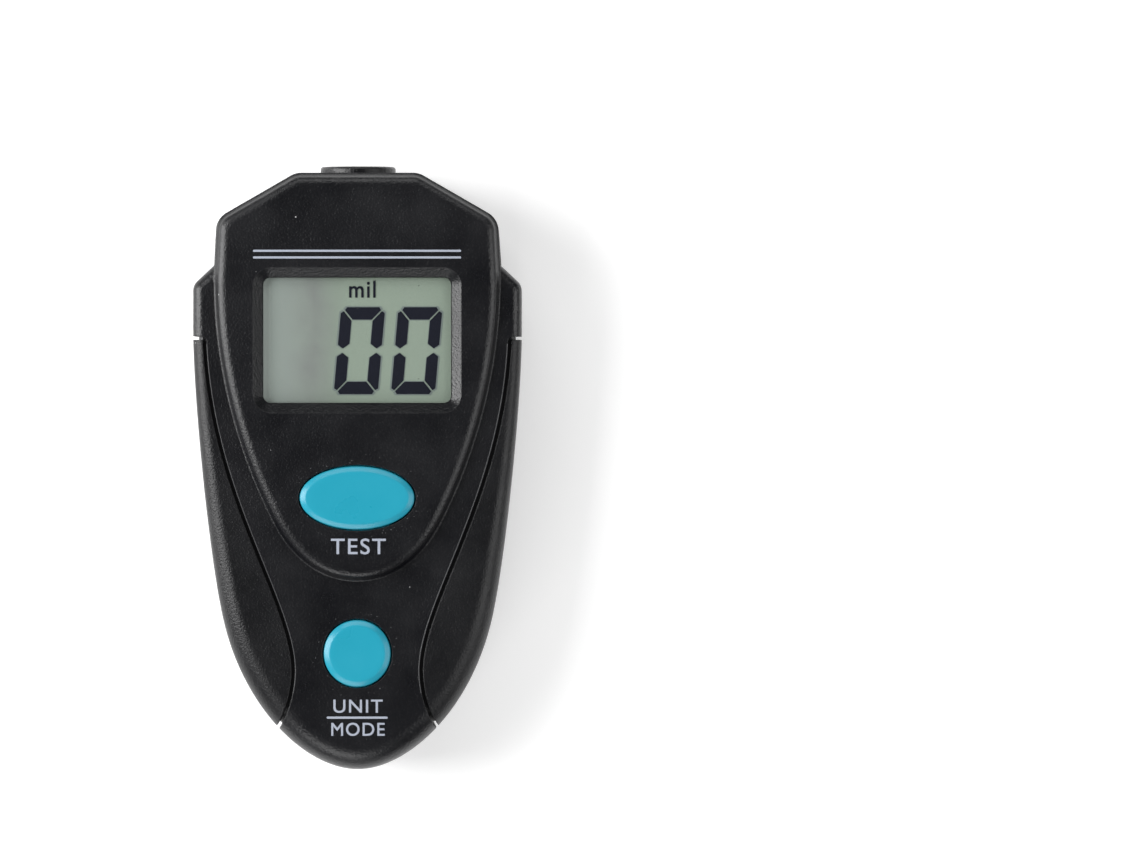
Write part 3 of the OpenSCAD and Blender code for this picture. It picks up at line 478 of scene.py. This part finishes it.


def moulded(name, colour, rough, pebble=2600.0, depth=0.12, dust=0.1, edge_wear_and_highlight=0.5, rounding=0.00018, vary=0.25,
            key_dust=False, **fixed):
    """A moulded or painted material: grain, uneven gloss, paler edges (rubbed wear and painted highlight)
    and dust.
    """
    material, tree, shader = new_material(name)
    for key, value in fixed.items():
        shader.inputs[key.replace("_", " ")].default_value = value
    grain = effect(tree, GRAIN, Pebble=pebble)
    darker, lighter = (tuple(c * k for c in colour) for k in (1 - vary, 1 + vary))
    base = mixed(tree, grain.outputs["Patch"], darker, lighter)
    if dust:
        specks = effect(tree, DUST, Amount=dust)
        base = mixed(tree, specks.outputs["Mask"], base, SPECK_COLOUR)
    if key_dust:
        base = mixed(tree, effect(tree, KEY_DUST).outputs["Mask"], base, KEY_DUST_COLOUR)
    shiny, dull = rough - GLOSS_SPREAD, rough + GLOSS_SPREAD
    gloss = ranged(tree, grain.outputs["Patch"], shiny, dull, From_Min=0.3, From_Max=0.7)
    tree.links.new(gloss, shader.inputs["Roughness"])
    bump = node(tree, "Bump", Strength=depth, Distance=BUMP_DEPTH)
    tree.links.new(grain.outputs["Height"], bump.inputs["Height"])
    if rounding:
        # Paler edges: partly rubbed wear, partly painted highlight
        edges = effect(tree, EDGES, Rounding=rounding, Strength=edge_wear_and_highlight)
        wear_and_highlight_colour = tuple(min(1, c * EDGE_WEAR_AND_HIGHLIGHT_GAIN + EDGE_WEAR_AND_HIGHLIGHT_LIFT) for c in colour)
        base = mixed(tree, edges.outputs["Mask"], base, wear_and_highlight_colour)
        tree.links.new(edges.outputs["Normal"], bump.inputs["Normal"])
    tree.links.new(bump.outputs["Normal"], shader.inputs["Normal"])
    tree.links.new(base, shader.inputs["Base Color"])
    return material


# The black's edges are drawn much paler: partly rubbed wear, partly painted highlight
BLACK = moulded(
    "black_plastic", (0.0024, 0.0026, 0.004), 0.33, depth=0.6, dust=0.16, edge_wear_and_highlight=2.0, rounding=0.00028,
    key_dust=True,
)
RUBBER = moulded(
    "grip_rubber", (0.0024, 0.0026, 0.0036), 0.38, pebble=3000.0, depth=0.65, dust=0.2, rounding=0.00035,
    Specular_IOR_Level=0.4,
)
TEAL = moulded(
    "key_plastic", (0.016, 0.305, 0.42), 0.3, depth=0.08, dust=0.03, edge_wear_and_highlight=0.3, vary=0.05, rounding=0.0002,
)
INK = moulded("print_ink", (0.34, 0.37, 0.44), 0.6, depth=0.15, dust=0, rounding=0, vary=0.1)
STEEL = moulded(
    "bright_steel", (0.62, 0.62, 0.61), 0.3, pebble=900.0, depth=0.1, dust=0, edge_wear_and_highlight=0.4, vary=0.06,
    Metallic=1.0,
)
COPPER = moulded(
    "copper_wire", (0.62, 0.27, 0.12), 0.34, pebble=2400.0, depth=0.5, dust=0, edge_wear_and_highlight=0.2, vary=0.15,
    Metallic=1.0,
)
LAMINATE = moulded(
    "board_laminate", (0.02, 0.11, 0.05), 0.38, pebble=500.0, depth=0.1, dust=0, edge_wear_and_highlight=0.2, vary=0.2,
)
CHIP = moulded("chip_plastic", (0.014, 0.014, 0.016), 0.55, depth=0.3, dust=0, edge_wear_and_highlight=0.3)
IVORY = moulded("stem_plastic", (0.6, 0.57, 0.5), 0.45, depth=0.1, dust=0, edge_wear_and_highlight=0.1, vary=0.06)
JACKET = moulded("lead_jacket", (0.5, 0.025, 0.02), 0.4, depth=0.1, dust=0, edge_wear_and_highlight=0.2, vary=0.1)
STRIP = moulded(
    "contact_rubber", (0.62, 0.36, 0.38), 0.6, pebble=1500.0, depth=0.2, dust=0, edge_wear_and_highlight=0.1, vary=0.1,
)
CELL = moulded(
    "cell_jacket", (0.16, 0.17, 0.19), 0.24, pebble=700.0, depth=0.04, dust=0, edge_wear_and_highlight=0.6, vary=0.1,
    Metallic=0.6,
)
# Pale colour of the groove's lip: partly dust, partly a painted highlight along the edge that catches the
# light
GROOVE_LIP_DUST_AND_HIGHLIGHT = moulded(
    "groove_edge_dust_and_painted_highlight", (0.035, 0.035, 0.038), 0.4, depth=0.3, dust=0.3, rounding=0, vary=0.5,
)
SEGMENT = moulded(
    "display_segment", (0.003, 0.004, 0.012), 0.6, depth=0.02, dust=0, rounding=0, vary=0.1,
    Specular_IOR_Level=0.15,
)
GHOST = moulded("display_shadow", (0.15, 0.185, 0.175), 0.6, depth=0.02, dust=0, rounding=0, vary=0.04)


def display_material():
    """Grey-green reflector of the display, greener to the right, with a dull band, a fine tooth and painted
    light along its left edge.
    """
    material, tree, shader = new_material("display_glass")
    spread = node(tree, "SeparateXYZ")
    tree.links.new(node(tree, "TexCoord").outputs["Object"], spread.inputs["Vector"])
    x = spread.outputs["X"]
    across = ranged(tree, x, 0.0, 1.0, From_Min=-14 * MM, From_Max=-4 * MM)
    base = mixed(tree, across, (0.268, 0.312, 0.285), (0.262, 0.325, 0.262))
    # Painted light along the left edge: the colour is paler there, to make up for the shade that the
    # window's frame throws on it
    left_edge_painted_light = ranged(tree, x, 0.0, 1.0, From_Min=-17.9 * MM, From_Max=-16.2 * MM)
    base = mixed(tree, left_edge_painted_light, (0.64, 0.72, 0.67), base)
    grain = effect(tree, GRAIN, Pebble=4200.0, Unevenness=150.0)
    from_band = math_node(tree, "ABSOLUTE", math_node(tree, "MULTIPLY_ADD", x, 160.0, 1.3))
    near = math_node(tree, "SUBTRACT", 1.0, from_band, clamp=True)
    patchy = math_node(tree, "MULTIPLY", near, grain.outputs["Patch"])
    base = mixed(tree, math_node(tree, "MULTIPLY", patchy, 1.1, clamp=True), base, (0.165, 0.16, 0.172))
    tooth = math_node(tree, "MULTIPLY", grain.outputs["Height"], across)
    base = mixed(tree, math_node(tree, "MULTIPLY", tooth, 0.3, clamp=True), base, (0.14, 0.185, 0.145))
    tree.links.new(base, shader.inputs["Base Color"])
    tree.links.new(ranged(tree, grain.outputs["Patch"], 0.5, 0.7), shader.inputs["Roughness"])
    bump = node(tree, "Bump", Strength=0.1, Distance=BUMP_DEPTH)
    tree.links.new(grain.outputs["Height"], bump.inputs["Height"])
    tree.links.new(bump.outputs["Normal"], shader.inputs["Normal"])
    return material


def window_material():
    """Clear window: mostly see-through, with a sharp reflection and a little dust."""
    material, tree, shader = new_material("clear_window")
    shader.inputs["Base Color"].default_value = (0.06, 0.065, 0.06, 1)
    specks = effect(tree, DUST, Amount=0.05, Spacing=520.0)
    tree.links.new(math_node(tree, "ADD", specks.outputs["Mask"], 0.035, clamp=True), shader.inputs["Alpha"])
    grain = effect(tree, GRAIN, Pebble=1200.0)
    tree.links.new(ranged(tree, grain.outputs["Patch"], 0.02, 0.1), shader.inputs["Roughness"])
    return material


def paper_material():
    """White sweep with a faint tooth, lit a little from below as a light table is."""
    material, tree, shader = new_material("pale_floor")
    shader.inputs["Roughness"].default_value = 0.8
    grain = effect(tree, GRAIN, Pebble=700.0, Unevenness=20.0)
    base = mixed(tree, grain.outputs["Patch"], (0.9, 0.9, 0.9), (0.94, 0.94, 0.94))
    tree.links.new(base, shader.inputs["Base Color"])
    shader.inputs["Emission Color"].default_value = (1, 1, 1, 1)
    shader.inputs["Emission Strength"].default_value = 0.3
    return material


DISPLAY, WINDOW = display_material(), window_material()

# Grooves: they start under the shoulders, narrow towards the tail and sweep out to the side
Y_GROOVE, GROOVE_CORNER, GROOVE_CORNER_R = 24.85, 1.5, 1.2
GROOVE_START = Vector((28.4, Y_GROOVE - GROOVE_CORNER))
GROOVE_NARROW = Vector((11.7, -38.25))
GROOVE_END = Vector((14.9, -49.35))
SWEEP = Vector((1.7, -2.4))
FIELD_X = CASE_HALF + 8  # past the side of the case
START_DOWN, NARROW_UP, NARROW_DOWN = Vector((1.4, 29)), Vector((0, 13)), Vector((0, 4.2))
GROOVE_LINE = [GROOVE_START]
GROOVE_LINE += curve([GROOVE_START, GROOVE_START - START_DOWN, GROOVE_NARROW + NARROW_UP, GROOVE_NARROW], 44)
GROOVE_LINE += curve([GROOVE_NARROW, GROOVE_NARROW - NARROW_DOWN, GROOVE_END - SWEEP, GROOVE_END], 18)
LEAST_CORNER_R, CORNER_CLEAR = 0.25, 0.05
RUN_ON, SWEEPS_PAST = Vector((0, 0.3)), 4  # how far the field's edge goes on past both ends of the groove


def grip_field(d):
    """Outline of a grip's field on the front, d inside the body's edge of the groove."""
    top = Y_GROOVE - d
    line = [GROOVE_START + RUN_ON] + GROOVE_LINE + [GROOVE_END + SWEEP * SWEEPS_PAST]
    moved = []
    for before, p, after in zip(line[:1] + line, line, line[1:] + line[-1:]):
        along = (after - before).normalized()
        moved.append(p + Vector((-along.y, along.x)) * d)
    corner = Vector((moved[0].x, top))
    arc = rounded(moved[2], corner, (FIELD_X, top), max(GROOVE_CORNER_R - d, LEAST_CORNER_R), 6)[::-1]
    body = [p for p in moved if p.y < arc[-1].y - CORNER_CLEAR]
    return [Vector((FIELD_X, top))] + arc + body + [Vector((FIELD_X, body[-1].y))]


# Front shell

# Edge of the shield: a thin slope at its foot, a steep wall, and a broad rounding up to the panel
SHIELD_FOOT = ((0, 0), (0.32, 0.18), (0.7, 0.85))  # how far in, and how far above the case
SHIELD_ROUNDING = 1.8


def case_front(name, d, past):
    loops = [whole(level(inset(CASE, d), JOINT_Z - past))]
    return loft(name, loops + [whole(edge_loop(CASE, d, a, True)) for a in ANGLES])


def shield_form(name):
    loops = [whole(level(SHIELD, JOINT_Z - 3 * PAST))]
    for d, up in SHIELD_FOOT:
        loops.append(whole(level(inset(SHIELD, d), CASE_T + up)))
    wall_in, wall_up = SHIELD_FOOT[-1]
    for a in ANGLES[1:]:
        ring = inset(SHIELD, wall_in + SHIELD_ROUNDING * (1 - math.cos(a)))
        loops.append(whole(level(ring, CASE_T + wall_up + (SHIELD_H - wall_up) * math.sin(a))))
    return loft(name, loops)


def recess(name, side):
    """What a grip's seat takes off the case: its field, down to the recess's floor."""
    field = prism(name, grip_field(0), JOINT_Z - PAST, CASE_T * 2)
    if side < 0:
        other = flipped(field, name)
        bpy.data.objects.remove(field)
        field = other
    return carve(field, [case_front("core", RECESS, 4 * PAST)])


def window_frame():
    """Cutter for the sloped walls round the window."""
    loops = []
    for z, t in FRAME_ENDS:
        wider, r = FRAME_WIDER * t, WINDOW_R + FRAME_R * t
        loops.append([(*p, z) for p in plate(WINDOW_W + wider, WINDOW_L + wider, r, Y_WINDOW, steps=10)])
    return loft("window_frame", loops)


def key_hole(name, w, l, y, low, high):
    return prism(name, oval(w + 2 * KEY_GAP, l + 2 * KEY_GAP, y), low - PAST, high + PAST)


SEAT = plate(WINDOW_W + SEAT_WIDER, WINDOW_L + SEAT_WIDER, SEAT_R, Y_WINDOW)
shell = carve(case_front("case_half", 0, 2 * PAST), [recess("recess_left", -1), recess("recess_right", 1)])
shell = carve(shield_form("front_shell_moulding"), [shell], "UNION")
shell = carve(shell, [
    prism("below", rectangle(BELOW_HALF_W, BELOW_HALF_L), JOINT_Z - BELOW_H, JOINT_Z),
    prism("hollow_head", whole(inset(SHIELD, WALL)), JOINT_Z - PAST, Z_SHIELD_CEILING),
    prism("hollow_case", whole(inset(CASE, HOLLOW_IN)), JOINT_Z - 2 * PAST, Z_CEILING),
    window_frame(),
    prism("seat", SEAT, Z_WINDOW - SEAT_DEPTH, Z_WINDOW),
    key_hole("oval_hole", TEST_W, TEST_L, Y_TEST, Z_SHIELD_CEILING, Z_SHIELD),
    key_hole("round_hole", MODE_D, MODE_D, Y_MODE, Z_CEILING, CASE_T),
    tube_y("bore", BORE_R, *Y_BORE),
])
place(shell, BLACK, "case", ["front_shell"])


# Side grips
def case_right(name, d):
    """Right half of the case, front and back, d inside its skin."""
    loops = [edge_loop(CASE, d, a, False) for a in reversed(ANGLES)]
    return loft(name, loops + [edge_loop(CASE, d, a, True) for a in ANGLES])


right = case_right("right_grip_pad", 0)
right = carve(right, [prism("field", grip_field(GROOVE), -PAST, CASE_T * 2)], "INTERSECT", "MANIFOLD")
right = carve(right, [
    prism("back_reach", whole(inset(CASE, GRIP_BACK)), -2 * PAST, JOINT_Z),
    case_right("seat", RECESS - GRIP_GAP),
], solver="MANIFOLD")
left = flipped(right, "left_grip_pad")
place(right, RUBBER, "case", ["right_grip"])
place(left, RUBBER, "case", ["left_grip"])

LIP_R, LIP_IN, LIP_STEPS = 0.11, 0.08, 8
LIP_SMOOTH = 60  # degrees
Y_LIP_END = -43  # the front is flat as far as here


def groove_lip(name):
    """Thin ridge along the body's edge of the right groove; its pale colour is partly dust and partly a
    painted highlight.
    """
    line = [p for p in GROOVE_LINE if p.y > Y_LIP_END]
    turn = [2 * math.pi * k / LIP_STEPS for k in range(LIP_STEPS)]
    rings = []
    for before, p, after in zip(line[:1] + line, line, line[1:] + line[-1:]):
        along = (after - before).normalized()
        to_body = Vector((along.y, -along.x))
        across = [p + to_body * (LIP_IN + LIP_R * math.cos(a)) for a in turn]
        rings.append([(q.x, q.y, CASE_T + LIP_R * math.sin(a)) for q, a in zip(across, turn)])
    return loft(name, rings)


right_lip = groove_lip("right_lip")
lips = join("groove_lips", [right_lip, flipped(right_lip, "left_lip")])
place(lips, GROOVE_LIP_DUST_AND_HIGHLIGHT, "case", angle=LIP_SMOOTH)

# Keys

# Slope round a key's face: how far in from the edge, and how far below the face
KEY_RIM = ((0, 0.75), (0.03, 0.6), (0.12, 0.5), (0.3, 0.4), (0.8, 0.13), (0.95, 0.06), (1.1, 0.02), (1.3, 0))
# Shallow dish, in which the face takes the light unevenly: share of the face, and how far below its edge
KEY_DISH = ((0.85, 0.02), (0.6, 0.045), (0.3, 0.06))
BRIM_WIDER, BRIM_T, BRIM_GAP = 3.1, 1, 0.1
POST_D, POST_SUNK, Z_POST = 4, 0.5, 19.25
KEY_SMOOTH = 50  # degrees


def key(name, w, l, y, panel, ceiling):
    """Cap that stands out of its panel, brim under the panel, and post down to the switch."""
    top, flange = panel + KEY_H, ceiling - BRIM_GAP
    loops = [[(*p, flange - BRIM_T) for p in oval(w, l, y)]]
    for rim, drop in KEY_RIM:
        loops.append([(*p, top - drop) for p in oval(w - 2 * rim, l - 2 * rim, y)])
    face_w, face_l = w - 2 * KEY_RIM[-1][0], l - 2 * KEY_RIM[-1][0]
    for share, dip in KEY_DISH:
        loops.append([(*p, top - dip) for p in oval(face_w * share, face_l * share, y)])
    cap = loft(name + "_cap", loops)
    brim = prism(name + "_brim", oval(w + BRIM_WIDER, l + BRIM_WIDER, y), flange - BRIM_T, flange)
    post = prism(name + "_post", oval(POST_D, POST_D, y, 32), Z_POST, flange - POST_SUNK)
    return join(name + "_cap_and_post", [cap, brim, post])


test_key = key("test_key", TEST_W, TEST_L, Y_TEST, Z_SHIELD, Z_SHIELD_CEILING)
place(test_key, TEAL, "test_key", ["test_key"], KEY_SMOOTH)
mode_key = key("mode_key", MODE_D, MODE_D, Y_MODE, CASE_T, Z_CEILING)
place(mode_key, TEAL, "mode_key", ["mode_key"], KEY_SMOOTH)


# Display
DIGITS_X, Y_DIGITS = (0.4, 11.2), 22.1
Z_LIT, LIT_T, SHADOW_T = Z_LCD + 0.04, 0.04, 0.03
LAYER_T = 0.004  # between the shifted copies of a word
# Point of an upright: heights of its inner corner, tip and outer corner, and the tip's place across
TIP_INNER, TIP_END, TIP_OUTER, TIP_ACROSS = 1.1, 0.2, 0.9, 0.42


def digit(x, y, w=8.3, h=16.4, t=2.35, gap=0.2, cut=1.1, slant=5):
    """Strokes of a nought with cut corners; the uprights end in a point beside the middle."""
    m, k = h / 2, cut / 2
    left = [
        (0, h - cut), (k, h - k - gap), (t - gap, h - t - gap),
        (t - gap, m + TIP_INNER + gap), (TIP_ACROSS * t, m + TIP_END + gap), (0, m + TIP_OUTER + gap),
    ]
    top = [(cut, h), (w - cut, h), (w - k - gap, h - k), (w - t, h - t), (t, h - t), (k + gap, h - k)]
    shapes = [
        top,
        [(w - px, py) for px, py in left],
        [(w - px, h - py) for px, py in left],
        [(px, h - py) for px, py in top],
        [(px, h - py) for px, py in left],
        left,
    ]
    lean = math.tan(math.radians(slant))
    return [[(x - w / 2 + px + (py - m) * lean, y - m + py) for px, py in shape] for shape in shapes]


def both_digits(name, z, thick, **sizes):
    shapes = [shape for x in DIGITS_X for shape in digit(x, Y_DIGITS, **sizes)]
    return join(name, [prism("stroke", shape, z, z + thick) for shape in shapes])


def lettering(name, word, x, y, height, width, z, bold=0.03):
    """A word as thin faces; shifted copies lie on each other to thicken its strokes."""
    data = bpy.data.curves.new(name, "FONT")
    data.body = word
    data.resolution_u = 6
    data.fill_mode = "FRONT"
    data.space_character = 1.12
    text = link_new(name, data)
    flat = finished_mesh(text)
    bpy.data.objects.remove(text)
    xs, ys = [v.co.x for v in flat.vertices], [v.co.y for v in flat.vertices]
    fit_x = (width - 2 * bold) / (max(xs) - min(xs))
    fit_y = (height - 2 * bold) / (max(ys) - min(ys))
    verts, faces = [], []
    for layer, side in enumerate(((-bold, -bold), (bold, -bold), (bold, bold), (-bold, bold))):
        first = len(verts)
        for px, py in zip(xs, ys):
            verts.append((
                x + side[0] + (px - (min(xs) + max(xs)) / 2) * fit_x,
                y + side[1] + (py - (min(ys) + max(ys)) / 2) * fit_y,
                z + LAYER_T * layer,
            ))
        faces += [tuple(first + k for k in polygon.vertices) for polygon in flat.polygons]
    return make(name, verts, faces)


lit = both_digits("lit", Z_LIT, LIT_T)
unit = lettering("unit", "mil", x=0.95, y=33.7, height=3.2, width=5.0, z=Z_LIT + LIT_T, bold=0.05)
place(join("display_segments", [lit, unit]), SEGMENT, "case")
shadows = both_digits("display_segment_shadows", Z_LIT - SHADOW_T, SHADOW_T, w=8.9, h=16.8, t=2.7, gap=0.14)
place(shadows, GHOST, "case")

# Printing
INK_T, INK_SUNK = 0.02, 0.1


def rule(name, length, width, r, y, panel):
    return prism(name, plate(length, width, r, y), panel - INK_SUNK, panel + INK_T)


marks = [
    lettering("test_word", "TEST", x=0.25, y=-14.8, height=3.0, width=10.35, z=Z_SHIELD + INK_T),
    lettering("unit_word", "UNIT", x=0.15, y=-44.95, height=2.5, width=9.3, z=CASE_T + INK_T),
    lettering("mode_word", "MODE", x=0.15, y=-49.3, height=2.5, width=10.1, z=CASE_T + INK_T),
    rule("unit_rule", 11.5, 0.42, 0.2, -47.1, CASE_T),
    rule("upper_rule", 39.2, 0.4, 0.18, 40.9, Z_SHIELD),
    rule("lower_rule", 39.2, 0.4, 0.18, 39.65, Z_SHIELD),
]
place(join("front_printing", marks), INK, "case")

# CAD nodes that stay
WELD = 2e-6  # metres, points closer than this are one


def soften_group(name, folds=()):
    """Joins the facets of a CAD node and shades them as the curved skin that they stand for.

    The points round each fold, the same left and right, are drawn into one."""
    tree = bpy.data.node_groups.new(name, "GeometryNodeTree")
    tree.interface.new_socket("Geometry", in_out="INPUT", socket_type="NodeSocketGeometry")
    tree.interface.new_socket("Geometry", in_out="OUTPUT", socket_type="NodeSocketGeometry")
    take, give = tree.nodes.new("NodeGroupInput"), tree.nodes.new("NodeGroupOutput")
    merge = tree.nodes.new("GeometryNodeMergeByDistance")
    merge.inputs["Distance"].default_value = WELD
    plain = tree.nodes.new("GeometryNodeRemoveAttribute")
    plain.inputs["Name"].default_value = "custom_normal"
    faces, edges = (tree.nodes.new("GeometryNodeSetShadeSmooth") for _ in range(2))
    faces.inputs["Shade Smooth"].default_value = True
    edges.domain = "EDGE"
    edges.inputs["Shade Smooth"].default_value = False
    angle = tree.nodes.new("GeometryNodeInputMeshEdgeAngle")
    sharp = tree.nodes.new("FunctionNodeCompare")
    sharp.operation = "GREATER_THAN"
    sharp.inputs["B"].default_value = math.radians(SMOOTH)
    link = tree.links.new
    link(take.outputs[0], merge.inputs["Geometry"])
    joined = merge.outputs["Geometry"]
    for middle, radius in folds:
        spot = node(tree, "VectorMath", operation="ABSOLUTE")
        away = node(tree, "VectorMath", operation="DISTANCE")
        away.inputs[1].default_value = Vector(middle) * MM
        near = tree.nodes.new("FunctionNodeCompare")
        near.operation = "LESS_THAN"
        near.inputs["B"].default_value = radius * MM
        fuse = tree.nodes.new("GeometryNodeMergeByDistance")
        fuse.inputs["Distance"].default_value = 2 * radius * MM
        link(tree.nodes.new("GeometryNodeInputPosition").outputs["Position"], spot.inputs[0])
        link(spot.outputs["Vector"], away.inputs[0])
        link(away.outputs["Value"], near.inputs["A"])
        link(near.outputs["Result"], fuse.inputs["Selection"])
        link(joined, fuse.inputs["Geometry"])
        joined = fuse.outputs["Geometry"]
    link(joined, plain.inputs["Geometry"])
    link(plain.outputs["Geometry"], faces.inputs["Geometry"])
    link(faces.outputs["Geometry"], edges.inputs["Geometry"])
    link(angle.outputs["Unsigned Angle"], sharp.inputs["A"])
    link(sharp.outputs["Result"], edges.inputs["Selection"])
    link(edges.outputs["Geometry"], give.inputs[0])
    return tree


# The rear shell's rounding is wider than the radius of its shoulders, where its facets fold over
SHOULDER_FOLDS = [((25.4, 32.1, 0), 1.3), ((27.42, 32.95, 0.457), 0.45)]
SOFTEN = soften_group("Soften_Facets")
SOFTEN_SHOULDERS = soften_group("Soften_Shoulders", SHOULDER_FOLDS)
FINISH = {
    "rear_shell": BLACK, "battery_door": BLACK, "probe_sleeve": BLACK,
    "display_window": WINDOW, "lcd_glass": DISPLAY, "contact_strips": STRIP,
    "main_board": LAMINATE, "controller_chip": CHIP, "crystal_can": STEEL,
    "test_switch": CHIP, "mode_switch": CHIP, "test_stem": IVORY, "mode_stem": IVORY,
    "probe_bobbin": IVORY, "probe_winding": COPPER, "probe_core": STEEL, "probe_spring": STEEL,
    "probe_leads": JACKET, "left_cell": CELL, "right_cell": CELL,
    "bridge_contact": STEEL, "terminal_contacts": STEEL, "case_screws": STEEL, "board_screws": STEEL,
}


def finish(part, material, soften):
    for slot in part.material_slots:
        slot.material = material
    part.modifiers.new("soft facets", "NODES").node_group = soften
    even_normals(part)


for name, material in FINISH.items():
    finish(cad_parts[name], material, SOFTEN_SHOULDERS if name == "rear_shell" else SOFTEN)

# The probe's spring and leads, which give way as the probe goes in, are copied and hung on the case in place
# of the CAD nodes
SPRING_SEAT_Y, LEADS_END_Y = 41.25, 34.1
GIVING_WAY = (("probe_spring", "bright_steel", SPRING_SEAT_Y), ("probe_leads", "lead_jacket", LEADS_END_Y))
for name, slot, fixed_y in GIVING_WAY:
    moving = link_new(name + "_giving_way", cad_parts[name].data.copy())
    finish(moving, FINISH[name], SOFTEN)
    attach(moving, "case")
    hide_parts(name)
    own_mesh(moving)

# Floor, light and camera, in metres
FLOOR_HALF, FLOOR_Z = 3, -0.00005
corners = [(*p, 0) for p in rectangle(FLOOR_HALF, FLOOR_HALF)]
floor = make("floor", corners, [(0, 1, 2, 3)])
floor.location.z = FLOOR_Z
floor.data.materials.append(paper_material())


def softbox(name, at, size, power):
    """Area light that looks at the origin."""
    light = bpy.data.lights.new(name, "AREA")
    light.shape = "RECTANGLE"
    light.size, light.size_y = size
    light.energy = power
    obj = link_new(name, light)
    obj.location = at
    obj.rotation_euler = (-Vector(at)).to_track_quat("-Z", "Y").to_euler()


softbox("key_light", at=(-0.66, 0.1, 0.44), size=(0.5, 0.8), power=9.5)
softbox("fill_light", at=(0.7, -0.1, 0.62), size=(0.7, 0.7), power=3.6)
softbox("head_light", at=(0.0, 0.75, 0.6), size=(0.9, 0.4), power=2.8)
softbox("foot_light", at=(-0.2, -0.75, 0.5), size=(0.7, 0.4), power=3.2)
world = bpy.data.worlds.new("studio")
world.use_nodes = True
sky = world.node_tree.nodes["Background"]
sky.inputs["Color"].default_value = (1, 1, 1, 1)
sky.inputs["Strength"].default_value = 0.07
bpy.context.scene.world = world
bpy.context.scene.view_settings.view_transform = "Standard"

# The photograph is taken square to the front, with the gauge left of its middle
PIXEL = 0.18902 * MM  # metres on the gauge
PHOTO_W, PHOTO_H = 1140, 855
ORIGIN_PX, ORIGIN_PY = 357.75, 467.75  # the frame's origin in the photograph
CAMERA_Z, SENSOR = 2.5, 36
SCALE_Z = 19 * MM  # height at which PIXEL holds
lens = bpy.data.cameras.new("camera")
lens.sensor_width = SENSOR
lens.lens = SENSOR * (CAMERA_Z - SCALE_Z) / (PHOTO_W * PIXEL)
camera = link_new("camera", lens)
camera.location = ((PHOTO_W / 2 - ORIGIN_PX) * PIXEL, (ORIGIN_PY - PHOTO_H / 2) * PIXEL, CAMERA_Z)
bpy.context.scene.camera = camera
